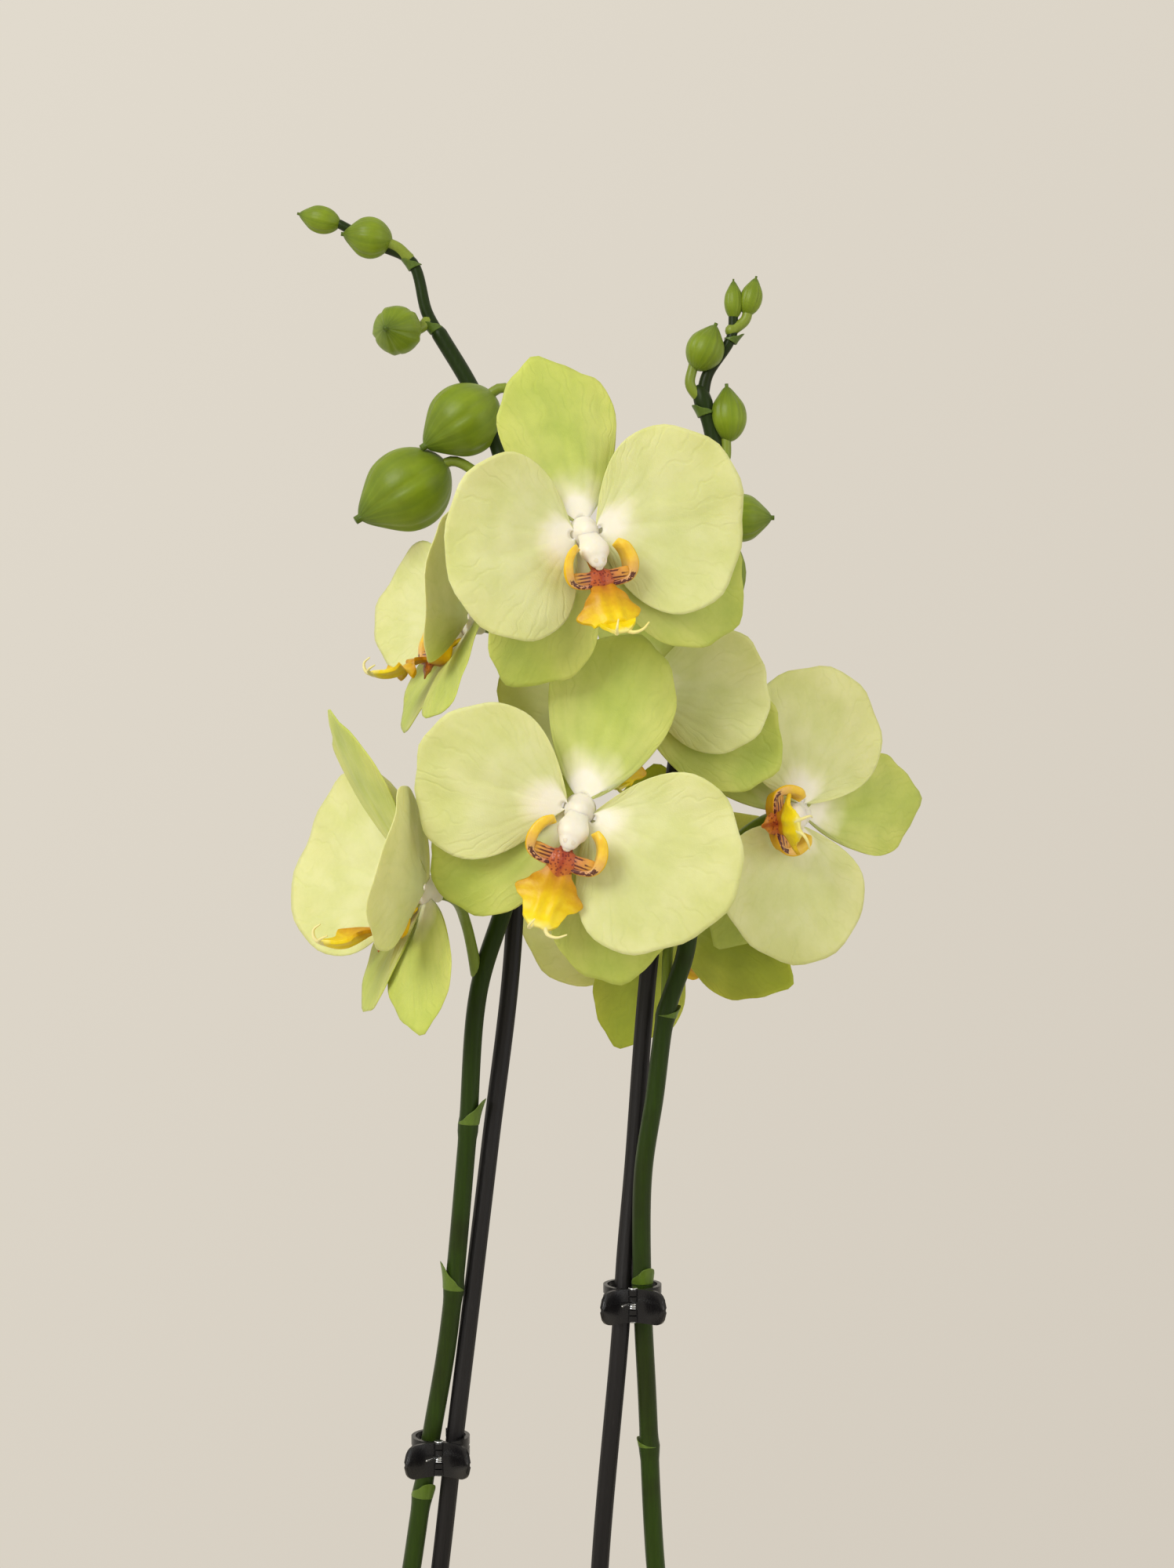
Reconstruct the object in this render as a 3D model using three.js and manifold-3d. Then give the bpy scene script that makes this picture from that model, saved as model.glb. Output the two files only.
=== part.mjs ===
// A moth orchid with two flower spikes in a plain pot: leaves, stakes, claw clips and all.
// Millimetres, +Z up. The origin is the centre of the pot's underside.
import * as THREE from "three";
import { mergeVertices } from "three/addons/utils/BufferGeometryUtils.js";
import Module from "manifold-3d";

const wasm = await Module();
wasm.setup();

// ---------------------------------------------------------------- driving dimensions
const GAP = 0.3;

const POT_HEIGHT = 115;
const POT_FOOT_RADIUS = 44;
const POT_TOP_RADIUS = 58;
const POT_WALL = 2.4;
const POT_FLOOR = 4;
const RIM_HEIGHT = 12;
const RIM_PROJECTION = 2;

const MEDIUM_TOP = 98;
const MEDIUM_CROWNING = 3;
const CROWN_RADIUS = 11;
const CROWN_BOTTOM = 92;
const CROWN_TOP = 130;

const STEM_RADIUS = 2.75;
const UPPER_STEM_RADIUS = 2.4;
const SPIKE_TIP_RADIUS = 1.7;
const PEDICEL_RADIUS = 1.5;
const STAKE_RADIUS = 2.65;

const TEPAL_THICKNESS = 0.9;
const LEAF_THICKNESS = 2;
const LEAF_CLEARANCE = 1.8;

const CLIP_HEIGHT = 9;
const CLAW_RADIUS = 7.9;
const CLAW_THICKNESS = 1.2;
const HUB_RADIUS = 2.2;
const PIN_RADIUS = 0.7;
const LEVER_LENGTH = 12;
const LEVER_ANGLE = 50;
const SPRING_COIL_RADIUS = 1.45;
const SPRING_WIRE_RADIUS = 0.28;
const SPRING_TURNS = 3;
const SPRING_PITCH = 0.62;

// ---------------------------------------------------------------- materials
function material(color, roughness, metalness = 0) {
  return new THREE.MeshStandardMaterial({ color, roughness, metalness });
}

const POT_COLOUR = 0xe9e4da;
const BARK_COLOUR = 0x5b3d27;
const LEAF_COLOUR = 0x2f5a22;
const STEM_COLOUR = 0x3a5a1e;
const STAKE_COLOUR = 0x1b1714;
const SEPAL_COLOUR = 0xb9bf5c;
const PETAL_COLOUR = 0xd0d080;
const LIP_COLOUR = 0xe0b412;
const COLUMN_COLOUR = 0xeee8dc;
const CLIP_COLOUR = 0x141414;
const STEEL_COLOUR = 0xc4c7ca;

// ---------------------------------------------------------------- helpers
function vector(point) {
  return new THREE.Vector3(...point);
}

function toSolid(geometry) {
  const bare = geometry.clone();
  bare.deleteAttribute("normal");
  bare.deleteAttribute("uv");
  const merged = mergeVertices(bare, 1e-4);
  return new wasm.Manifold(new wasm.Mesh({
    numProp: 3,
    vertProperties: new Float32Array(merged.attributes.position.array),
    triVerts: new Uint32Array(merged.index.array),
  }));
}

function toGeometry(solid) {
  const mesh = solid.getMesh();
  const geometry = new THREE.BufferGeometry();
  geometry.setAttribute("position", new THREE.BufferAttribute(new Float32Array(mesh.vertProperties), 3));
  geometry.setIndex(new THREE.BufferAttribute(new Uint32Array(mesh.triVerts), 1));
  geometry.computeVertexNormals();
  return geometry;
}

function join(geometries) {
  return toGeometry(geometries.map(toSolid).reduce((whole, piece) => whole.add(piece)));
}

function cut(geometry, tools) {
  return toGeometry(tools.map(toSolid).reduce((whole, tool) => whole.subtract(tool), toSolid(geometry)));
}

function roundSection(radius) {
  return new THREE.Shape().absarc(0, 0, radius, 0, 2 * Math.PI);
}

// A tube of the given number of sides along a smooth curve through the points.
function tube(points, radius, sides, steps) {
  return new THREE.ExtrudeGeometry(roundSection(radius), {
    steps,
    curveSegments: sides / 2,
    bevelEnabled: false,
    extrudePath: new THREE.CatmullRomCurve3(points.map(vector), false, "centripetal"),
  });
}

// A flat shape extruded upwards from z = bottom to z = top.
function slab(shape, bottom, top, curveSegments = 5) {
  const geometry = new THREE.ExtrudeGeometry(shape, {
    depth: top - bottom,
    curveSegments,
    bevelEnabled: false,
  });
  return geometry.translate(0, 0, bottom);
}

function ellipsoid(halfX, halfY, halfZ, columns = 8, rows = 5) {
  return new THREE.SphereGeometry(1, columns, rows).scale(halfX, halfY, halfZ);
}

// A closed solid between a front and a back sheet. pointAt(u, v, face) gives a point for u and v
// from 0 to 1, with face +1 on the front sheet and -1 on the back one. u x v is the front's side.
function sheetSolid(pointAt, columns, rows) {
  const positions = [];
  const index = [];
  const layer = (columns + 1) * (rows + 1);
  const vertex = (face, i, j) => face * layer + j * (columns + 1) + i;
  for (const face of [1, -1]) {
    for (let j = 0; j <= rows; j++) {
      for (let i = 0; i <= columns; i++) {
        positions.push(...pointAt(i / columns, j / rows, face).toArray());
      }
    }
  }
  const quad = (a, b, c, d) => index.push(a, b, c, a, c, d);
  for (let j = 0; j < rows; j++) {
    for (let i = 0; i < columns; i++) {
      quad(vertex(0, i, j), vertex(0, i + 1, j), vertex(0, i + 1, j + 1), vertex(0, i, j + 1));
      quad(vertex(1, i, j), vertex(1, i, j + 1), vertex(1, i + 1, j + 1), vertex(1, i + 1, j));
    }
  }
  const edge = (i0, j0, i1, j1) => {
    quad(vertex(0, i0, j0), vertex(1, i0, j0), vertex(1, i1, j1), vertex(0, i1, j1));
  };
  for (let i = 0; i < columns; i++) {
    edge(i, 0, i + 1, 0);
    edge(i + 1, rows, i, rows);
  }
  for (let j = 0; j < rows; j++) {
    edge(columns, j, columns, j + 1);
    edge(0, j + 1, 0, j);
  }
  const geometry = new THREE.BufferGeometry();
  geometry.setAttribute("position", new THREE.Float32BufferAttribute(positions, 3));
  geometry.setIndex(index);
  geometry.computeVertexNormals();
  return geometry;
}

const orchid = new THREE.Group();

function addMesh(parent, name, geometry, meshMaterial) {
  const mesh = new THREE.Mesh(geometry, meshMaterial);
  mesh.name = name;
  parent.add(mesh);
  return mesh;
}

// ---------------------------------------------------------------- flowers
// A tepal is a fan from its base: its outline radius shrinks towards the sides of the fan.
// length, base_out and base_up are in mm on a flower of size 1, spread in degrees.
const TEPAL_KINDS = {
  dorsal: { length: 44, spread: 44, lobe: 0.42, power: 2.0, round: 6, flare: 1.5, cup: -0.1, bend: -0.1,
    baseOut: 2, baseUp: 0 },
  petal: { length: 44, spread: 80, lobe: 0.46, power: 2.2, round: 8, flare: 0.8, cup: 0.06, bend: -0.06,
    baseOut: 3, baseUp: 1.6 },
  lateral: { length: 44, spread: 44, lobe: 0.45, power: 1.8, round: 6, flare: 1.5, cup: 0.1, bend: -0.1,
    baseOut: 2, baseUp: 0 },
};

// Where each tepal points, in degrees from the flower's right-hand side, seen from the front.
const TEPALS = {
  dorsal: { kind: "dorsal", direction: 90, side: 1 },
  petal_right: { kind: "petal", direction: 6, side: 1 },
  petal_left: { kind: "petal", direction: 174, side: -1 },
  lateral_right: { kind: "lateral", direction: -54, side: 1 },
  lateral_left: { kind: "lateral", direction: -126, side: -1 },
};

// Each flower: centre in mm; yaw turns it right, pitch nods it down and roll tips it clockwise,
// in degrees, and lipLift brings the lip's blade forward. A tepal's own entries turn it
// (anticlockwise), lift it forward, twist it about its midrib, and scale its length and width.
const FLOWERS = {
  flower_left_1: { centre: [-30, -12, 420], yaw: -70, pitch: -15, roll: 0, size: 1, lipLift: 55,
    petal_right: { lift: 41, length: 0.92, turn: 2, width: 0.85 },
    petal_left: { lift: 38, turn: 0, width: 0.85, length: 1.1 },
    dorsal: { lift: 55, length: 1.2, width: 0.9 },
    lateral_right: { lift: 2, turn: -10, length: 0.85, twist: -20 },
    lateral_left: { lift: 15, length: 0.85, turn: 10 } },
  flower_left_2: { centre: [13, -30, 443], yaw: 0, pitch: 5, roll: 20, size: 1.02, lipLift: 5,
    petal_right: { lift: 10, turn: -20, width: 0.9 },
    petal_left: { lift: 9, turn: 8, width: 0.75, length: 0.97, twist: 8 },
    dorsal: { lift: -5, turn: 3, length: 1.05 },
    lateral_right: { length: 1.05 },
    lateral_left: { length: 0.95, turn: -5 } },
  flower_left_3: { centre: [-18, -4, 496], yaw: -75, pitch: -15, roll: 0, size: 0.95, lipLift: 50,
    petal_right: { lift: 35, turn: 10, width: 0.8 },
    petal_left: { lift: 34, turn: 0, width: 0.7, length: 0.95 },
    dorsal: { lift: 10, length: 0.9 },
    lateral_right: { lift: 18, turn: 16, twist: -12, length: 0.95 },
    lateral_left: { lift: 20, length: 0.9 } },
  flower_left_4: { centre: [14, -42, 518], yaw: 20, pitch: 5, roll: -10, size: 0.95, lipLift: 30,
    petal_right: { lift: 15, turn: -5, width: 0.95 },
    petal_left: { lift: 15, turn: 10, length: 0.95 },
    dorsal: { turn: 4, length: 1.05 },
    lateral_right: { turn: 20, length: 1.15, lift: 8 },
    lateral_left: { turn: 5 } },
  flower_right_1: { centre: [39, 40, 411], yaw: 180, pitch: 0, roll: 5, size: 0.92, lipLift: 40,
    petal_right: { lift: 5, turn: 5, width: 0.9, length: 1.05 },
    petal_left: { lift: 5, turn: -10, width: 0.85 },
    lateral_right: { turn: -12, length: 0.95 },
    lateral_left: { turn: -20, length: 0.95 } },
  flower_right_2: { centre: [77, 21, 441], yaw: 30, pitch: 0, roll: 80, size: 0.93, lipLift: 65,
    petal_right: { lift: 10, turn: -28 },
    petal_left: { lift: 10, turn: -10, width: 0.95 },
    dorsal: { length: 1.15, width: 0.85, turn: -5 },
    lateral_right: { turn: 20, lift: -10 },
    lateral_left: { turn: -25, lift: -20 } },
  flower_right_3: { centre: [27, 2, 476], yaw: 0, pitch: 0, roll: 10, size: 0.92, lipLift: 20,
    petal_right: { lift: 12, turn: 5, width: 0.7, length: 0.93 },
    petal_left: { lift: 5, turn: 20, length: 0.85 },
    lateral_right: { turn: 40, length: 1.1, lift: 5 },
    lateral_left: { lift: 5, length: 0.9 } },
};

const RECEPTACLE_BACK = -1.5;
const TEPAL_COLUMNS = 3;
const TEPAL_ROWS = 5;
const FAN_EDGE = 0.96;
const FAN_START = 0.05;
const MIDLOBE_TILT = 0.16;
const MIDLOBE_FOOT = [0, -12.6, 8.4];

function flowerRotation(flower) {
  const turn = (axis, degrees) => {
    return new THREE.Quaternion().setFromAxisAngle(axis, THREE.MathUtils.degToRad(degrees));
  };
  const xAxis = new THREE.Vector3(1, 0, 0);
  const zAxis = new THREE.Vector3(0, 0, 1);
  return turn(zAxis, flower.yaw).multiply(turn(xAxis, flower.pitch + 90)).multiply(turn(zAxis, -flower.roll));
}

function tepal(name, size, changes = {}) {
  const { kind, direction, side } = TEPALS[name];
  const shape = TEPAL_KINDS[kind];
  const { lift = 0, twist = 0, turn = 0, length = 1, width = 1 } = changes;
  const reach = shape.length * size * length;
  const spread = THREE.MathUtils.degToRad(shape.spread) * width;
  const placed = new THREE.Matrix4()
    .makeRotationZ(THREE.MathUtils.degToRad(direction + turn))
    .multiply(new THREE.Matrix4().makeTranslation(shape.baseOut * size, 0, shape.baseUp * size))
    .multiply(new THREE.Matrix4().makeRotationY(THREE.MathUtils.degToRad(-lift)))
    .multiply(new THREE.Matrix4().makeRotationX(THREE.MathUtils.degToRad(twist * side)));
  return sheetSolid((u, v, face) => {
    const across = Math.sin((2 * v - 1) * FAN_EDGE * Math.PI / 2);
    const along = FAN_START + (1 - FAN_START) * u;
    const rim = reach * (1 - shape.lobe * Math.abs(across) ** shape.power)
      * Math.sqrt(1 - Math.abs(across) ** shape.round);
    const angle = across * spread * (shape.flare + (1 - shape.flare) * along);
    const a = along * rim * Math.cos(angle);
    const b = along * rim * Math.sin(angle);
    const c = 2 * shape.cup * b * b / reach + 1.5 * shape.bend * a * a / reach;
    return new THREE.Vector3(a, b, c + face * TEPAL_THICKNESS / 2).applyMatrix4(placed);
  }, TEPAL_COLUMNS, TEPAL_ROWS);
}

function receptacle(size) {
  const profile = [[0, RECEPTACLE_BACK], [2.2, RECEPTACLE_BACK], [3.4, -0.6], [3.4, 0.4], [2, 0.9], [0, 0.9]];
  const points = profile.map(([radius, height]) => new THREE.Vector2(radius * size, height * size));
  return new THREE.LatheGeometry(points, 6).rotateX(Math.PI / 2);
}

function column(size) {
  return ellipsoid(2.2, 2.4, 5.4).rotateX(0.75).translate(0, -4.3, 5.4).scale(size, size, size);
}

// A band of even width along a smooth line through flat points.
function bandShape(points, width, divisions) {
  const curve = new THREE.SplineCurve(points.map(([x, y]) => new THREE.Vector2(x, y)));
  const sides = [1, -1].map((side) => {
    return Array.from({ length: divisions + 1 }, (_, i) => {
      const tangent = curve.getTangent(i / divisions);
      const normal = new THREE.Vector2(-tangent.y, tangent.x).multiplyScalar(side * width / 2);
      return curve.getPoint(i / divisions).add(normal);
    });
  });
  return new THREE.Shape([...sides[1], ...sides[0].reverse()]);
}

// The lip hangs below the column: a claw, two upright side lobes and an anchor-shaped midlobe,
// which reaches forward by the given degrees.
function lip(size, lift) {
  const sideLobes = slab(
    bandShape([[-5.6, -4.6], [-7.4, -8], [-4.8, -12.4], [0, -13.4], [4.8, -12.4], [7.4, -8],
      [5.6, -4.6]], 1.1, 6),
    5.6, 11);
  const midlobe = new THREE.Shape();
  midlobe.moveTo(-2.4, 3);
  midlobe.lineTo(-3, -4);
  midlobe.quadraticCurveTo(-5, -7, -8.5, -10);
  midlobe.quadraticCurveTo(-5, -15, 0, -18.5);
  midlobe.quadraticCurveTo(5, -15, 8.5, -10);
  midlobe.quadraticCurveTo(5, -7, 3, -4);
  midlobe.lineTo(2.4, 3);
  const blade = slab(midlobe, -0.6, 0.6, 3).rotateX(-MIDLOBE_TILT - THREE.MathUtils.degToRad(lift))
    .translate(...MIDLOBE_FOOT);
  const callus = ellipsoid(2.4, 2, 1.8, 6, 4).translate(0, -12.4, 9.2);
  const claw = new THREE.BoxGeometry(3, 7.5, 1).rotateX(-0.72).translate(0, -9.4, 5.6);
  return join([sideLobes, blade, callus, claw]).scale(size, size, size);
}

for (const [name, flower] of Object.entries(FLOWERS)) {
  const group = new THREE.Group();
  group.position.set(...flower.centre);
  group.quaternion.copy(flowerRotation(flower));
  const sepals = ["dorsal", "lateral_right", "lateral_left"].map((part) => {
    return tepal(part, flower.size, flower[part]);
  });
  addMesh(group, `${name}_sepals`, join([receptacle(flower.size), ...sepals]), material(SEPAL_COLOUR, 0.5));
  for (const part of ["petal_left", "petal_right"]) {
    addMesh(group, `${name}_${part}`, tepal(part, flower.size, flower[part]), material(PETAL_COLOUR, 0.5));
  }
  addMesh(group, `${name}_lip`, lip(flower.size, flower.lipLift), material(LIP_COLOUR, 0.45));
  addMesh(group, `${name}_column`, column(flower.size), material(COLUMN_COLOUR, 0.4));
  orchid.add(group);
}

// ---------------------------------------------------------------- spikes
// The point behind a flower, out from its receptacle's back by the given distance.
function behind(flower, distance) {
  const away = new THREE.Vector3(0, 0, (RECEPTACLE_BACK * flower.size) - distance);
  return away.applyQuaternion(flowerRotation(flower)).add(vector(flower.centre)).toArray();
}

// A flower's stalk, from its receptacle to the stem.
function flowerStalk(name, points) {
  const flower = FLOWERS[name];
  return tube([behind(flower, GAP), behind(flower, 6), ...points], PEDICEL_RADIUS, 6, 6);
}

const BUD_ROWS = 5;

// A bud around its middle, pointing its tip in the given direction.
function bud({ middle, direction, length, width }) {
  const profile = Array.from({ length: BUD_ROWS + 1 }, (_, i) => {
    const along = i / BUD_ROWS;
    const radius = (width / 2) * Math.sin(Math.PI * along ** 0.9) ** 0.8;
    const onAxis = i === 0 || i === BUD_ROWS;
    return new THREE.Vector2(onAxis ? 0 : radius, length * (along - 0.5));
  });
  const turn = new THREE.Quaternion().setFromUnitVectors(
    new THREE.Vector3(0, 1, 0), vector(direction).normalize());
  return new THREE.LatheGeometry(profile, 8).applyQuaternion(turn).translate(...middle);
}

function spike({ stem, upper, tip, stalks, budStalks, buds }) {
  return join([
    tube(stem, STEM_RADIUS, 8, 18),
    tube(upper, UPPER_STEM_RADIUS, 6, 8),
    tube(tip, SPIKE_TIP_RADIUS, 6, 6),
    ...Object.entries(stalks).map(([name, points]) => flowerStalk(name, points)),
    ...budStalks.map((points) => tube(points, PEDICEL_RADIUS, 6, 5)),
    ...buds.map(bud),
  ]);
}

const SPIKES = {
  spike_left: {
    stem: [[-12.8, 3, 106], [-24, 6, 116], [-38, 9, 140], [-42, 10, 180], [-35.4, 10, 226], [-31, 10, 256],
      [-25.3, 10, 290], [-20, 10, 345], [-16.5, 10, 390], [-7.5, 10, 420], [-3, 10, 450]],
    upper: [[-3.2, 10, 448], [-1, 10, 490], [-5, 10, 525], [-11.6, 10, 550], [-19, 10, 566], [-28, 10, 581]],
    tip: [[-27, 10, 579], [-31.5, 10, 587], [-36, 10, 602], [-46, 10, 607], [-57, 10, 613]],
    stalks: {
      flower_left_1: [[-20, 4, 410], [-17, 10, 395]],
      flower_left_2: [[4, -6, 438], [-3, 8, 430]],
      flower_left_3: [[-4, 4, 488], [-2, 10, 478]],
      flower_left_4: [[6, -20, 514], [-3, 8, 504]],
    },
    budStalks: [
      [[-7, 10, 532], [-15, 10, 539], [-24, 10, 544], [-30, 10, 541]],
      [[-9, 10, 543], [-5, 9, 556], [-9, 8, 565], [-15, 8, 562]],
      [[-31, 10, 585], [-34, 8, 582], [-38, 6, 582]],
      [[-37, 10, 603], [-40, 9, 606], [-45, 9, 608]],
    ],
    buds: [
      { middle: [-39, 10, 535], direction: [-0.83, -0.2, -0.55], length: 32, width: 24 },
      { middle: [-22.3, 8, 555], direction: [-0.8, -0.2, -0.6], length: 27, width: 21 },
      { middle: [-40, 4, 581], direction: [-0.3, -0.9, -0.1], length: 17, width: 14 },
      { middle: [-49, 9, 609], direction: [-1, -0.1, 0.1], length: 15, width: 12 },
      { middle: [-63, 10, 614.5], direction: [-1, 0, 0.25], length: 13, width: 8 },
    ],
  },
  spike_right: {
    stem: [[12.8, 3, 106], [24, 6, 116], [36, 9, 140], [39, 10, 180], [34.7, 10, 226], [32.5, 10, 272],
      [31.2, 10, 300], [31.3, 10, 336], [34.7, 10, 359], [38.2, 10, 384], [43.9, 10, 402], [47, 10, 445]],
    upper: [[46.9, 10, 443], [49, 10, 492], [52, 10, 548], [48, 10, 564]],
    tip: [[48.5, 10, 562], [50, 10, 569], [57, 10, 580], [57.6, 10, 588]],
    stalks: {
      flower_right_1: [[39.5, 24, 408], [38.5, 14, 398], [38.3, 10, 385]],
      flower_right_2: [[66, 31, 438], [56, 28, 430], [48, 17, 420], [45, 10, 412]],
      flower_right_3: [[34, 10, 472], [47, 10, 464]],
    },
    budStalks: [
      [[49, 10, 489], [56, 11, 499], [60, 12, 512], [56, 11, 524], [57, 10, 527]],
      [[51.5, 10, 541], [55, 10, 544], [55.5, 10, 551]],
      [[49, 10, 561], [45, 9, 566], [46, 9, 572]],
      [[57, 10, 582], [61, 10, 585], [62, 10, 589]],
    ],
    buds: [
      { middle: [61, 10, 527.5], direction: [1, 0, 0], length: 17, width: 14 },
      { middle: [56, 10, 558], direction: [-0.05, 0, 1], length: 17, width: 10.5 },
      { middle: [49.5, 8.5, 577], direction: [0.4, 0, 0.9], length: 15, width: 11 },
      { middle: [62.8, 10, 592], direction: [0.25, 0, 0.97], length: 12, width: 6.5 },
      { middle: [57.6, 10, 591], direction: [0, 0, 1], length: 12, width: 5.5 },
    ],
  },
};

for (const [name, plan] of Object.entries(SPIKES)) {
  addMesh(orchid, name, spike(plan), material(STEM_COLOUR, 0.5));
}

// ---------------------------------------------------------------- stakes
const STAKES = {
  stake_left: [[-38, 23, 72], [-40, 23, 98], [-38, 20, 140], [-33, 15, 180], [-27.3, 11, 226],
    [-23.9, 10, 256],
    [-19.8, 12, 290], [-13.3, 15, 345], [-6.9, 17, 400], [-4.1, 17, 479], [-3.8, 17, 490]],
  stake_right: [[14, 22, 72], [15, 22, 98], [16, 19, 165], [19.1, 13, 226], [24.7, 10.5, 290],
    [26.2, 13.5, 312], [28.4, 16, 336], [33.6, 17, 400], [46.6, 17, 493]],
};

function stake(points, radius) {
  return tube(points, radius, 8, 14);
}

for (const [name, points] of Object.entries(STAKES)) {
  addMesh(orchid, name, stake(points, STAKE_RADIUS), material(STAKE_COLOUR, 0.6));
}

// ---------------------------------------------------------------- pot, growing medium and crown
function potRadiusAt(height) {
  return POT_FOOT_RADIUS + (POT_TOP_RADIUS - POT_FOOT_RADIUS) * height / POT_HEIGHT;
}

function lathe(profile, segments) {
  const points = profile.map(([radius, height]) => new THREE.Vector2(radius, height));
  return new THREE.LatheGeometry(points, segments).rotateX(Math.PI / 2);
}

function pot() {
  const rimBottom = POT_HEIGHT - RIM_HEIGHT;
  const rimRadius = POT_TOP_RADIUS + RIM_PROJECTION;
  return lathe([
    [0, 0],
    [potRadiusAt(0) - 2, 0],
    [potRadiusAt(2), 2],
    [potRadiusAt(rimBottom), rimBottom],
    [rimRadius - 0.6, rimBottom + 1.5],
    [rimRadius, POT_HEIGHT - 1.5],
    [rimRadius - 1.4, POT_HEIGHT],
    [potRadiusAt(POT_HEIGHT) - POT_WALL, POT_HEIGHT],
    [potRadiusAt(POT_FLOOR + 4) - POT_WALL, POT_FLOOR + 4],
    [potRadiusAt(POT_FLOOR) - POT_WALL - 4, POT_FLOOR],
    [0, POT_FLOOR],
  ], 32);
}

function crown(clearance = 0) {
  const radius = CROWN_RADIUS + clearance;
  const bottom = CROWN_BOTTOM - clearance;
  return lathe([
    [0, bottom],
    [0.7 * radius, bottom],
    [radius, bottom + 8],
    [radius, CROWN_TOP - 8],
    [0.6 * radius, CROWN_TOP - 2],
    [0, CROWN_TOP],
  ], 12);
}

function growingMedium() {
  const inner = (height) => potRadiusAt(height) - POT_WALL - GAP - 0.2;
  const bottom = POT_FLOOR + GAP;
  const block = lathe([
    [0, bottom],
    [inner(bottom) - 4.5, bottom],
    [inner(bottom + 5), bottom + 5],
    [inner(MEDIUM_TOP), MEDIUM_TOP],
    [0.5 * inner(MEDIUM_TOP), MEDIUM_TOP + 0.7 * MEDIUM_CROWNING],
    [0, MEDIUM_TOP + MEDIUM_CROWNING],
  ], 28);
  const sockets = Object.values(STAKES).map((points) => {
    return stake([[points[0][0], points[0][1], points[0][2] - GAP], ...points.slice(1)], STAKE_RADIUS + GAP);
  });
  return cut(block, [crown(GAP), ...sockets]);
}

addMesh(orchid, "pot", pot(), material(POT_COLOUR, 0.35));
addMesh(orchid, "growing_medium", growingMedium(), material(BARK_COLOUR, 0.95));
addMesh(orchid, "crown", crown(), material(LEAF_COLOUR, 0.6));

// ---------------------------------------------------------------- leaves
// Each leaf: the way it points in degrees, its foot's height, reach, width, rise and droop in mm.
const LEAVES = {
  leaf_1: { azimuth: -72, foot: 108, reach: 150, width: 52, rise: 22, droop: 34 },
  leaf_2: { azimuth: 114, foot: 111, reach: 145, width: 54, rise: 24, droop: 36 },
  leaf_3: { azimuth: -96, foot: 114, reach: 125, width: 54, rise: 36, droop: 22 },
  leaf_4: { azimuth: 108, foot: 117, reach: 120, width: 52, rise: 38, droop: 24 },
  leaf_5: { azimuth: -80, foot: 120, reach: 80, width: 46, rise: 50, droop: 8 },
  leaf_6: { azimuth: 100, foot: 123, reach: 55, width: 36, rise: 48, droop: 0 },
};
const LEAF_CHANNEL = 0.3;

function leaf({ azimuth, foot, reach, width, rise, droop }) {
  const start = CROWN_RADIUS + LEAF_CLEARANCE;
  const midrib = new THREE.CubicBezierCurve(
    new THREE.Vector2(start, foot),
    new THREE.Vector2(start + 0.25 * reach, foot + 1.1 * rise),
    new THREE.Vector2(start + 0.6 * reach, foot + 1.3 * rise),
    new THREE.Vector2(start + 0.92 * reach, foot + rise - droop));
  return sheetSolid((u, v, face) => {
    const along = 0.985 * u;
    const middle = midrib.getPoint(along);
    const tangent = midrib.getTangent(along);
    const halfWidth = (width / 2) * (0.38 + 0.62 * Math.sin(Math.PI * Math.min(1, along) ** 0.85) ** 0.7)
      * Math.sqrt(1 - along ** 7);
    const sideways = (2 * v - 1) * halfWidth;
    const lift = LEAF_CHANNEL * Math.abs(sideways) + face * LEAF_THICKNESS / 2;
    return new THREE.Vector3(middle.x - lift * tangent.y, sideways, middle.y + lift * tangent.x);
  }, 8, 4).rotateZ(THREE.MathUtils.degToRad(azimuth));
}

for (const [name, plan] of Object.entries(LEAVES)) {
  addMesh(orchid, name, leaf(plan), material(LEAF_COLOUR, 0.4));
}

// ---------------------------------------------------------------- claw clips
// In a clip's frame the hinge pin stands on the origin, +X is right and the stem and stake are
// behind it, around (0, CLAW_RADIUS). The fixed jaw is the left one, and the right one swings.
const CLIPS = {
  clip_left: [-27.6, 2.1, 256],
  clip_right: [28.2, 2.4, 300],
};
const FIXED_LUGS = [[2.9, 4.5], [-4.5, -2.9]];
const SWINGING_LUGS = [[1.2, 2.6], [-2.6, -1.2]];
const JAW_SWEEP = 172;
const LEVER_START = 0.5;
const HUB_CLEARANCE = 0.4;
// The slots that part the claws into fingers.
const FINGER_SLOT_HEIGHTS = [-1.6, 1.6];
const FINGER_SLOT_WIDTH = 1;
const FINGER_SLOT_DEPTH = CLAW_RADIUS + 3;
const FINGER_SLOT_OFFSET = 1.75 * CLAW_RADIUS;

// The geometry seen in a mirror across x = 0, with its faces turned back outwards.
function mirrored(geometry) {
  const copy = geometry.clone().scale(-1, 1, 1);
  const index = Array.from(copy.index.array);
  for (let i = 0; i < index.length; i += 3) {
    [index[i + 1], index[i + 2]] = [index[i + 2], index[i + 1]];
  }
  copy.setIndex(index);
  copy.computeVertexNormals();
  return copy;
}

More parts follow.
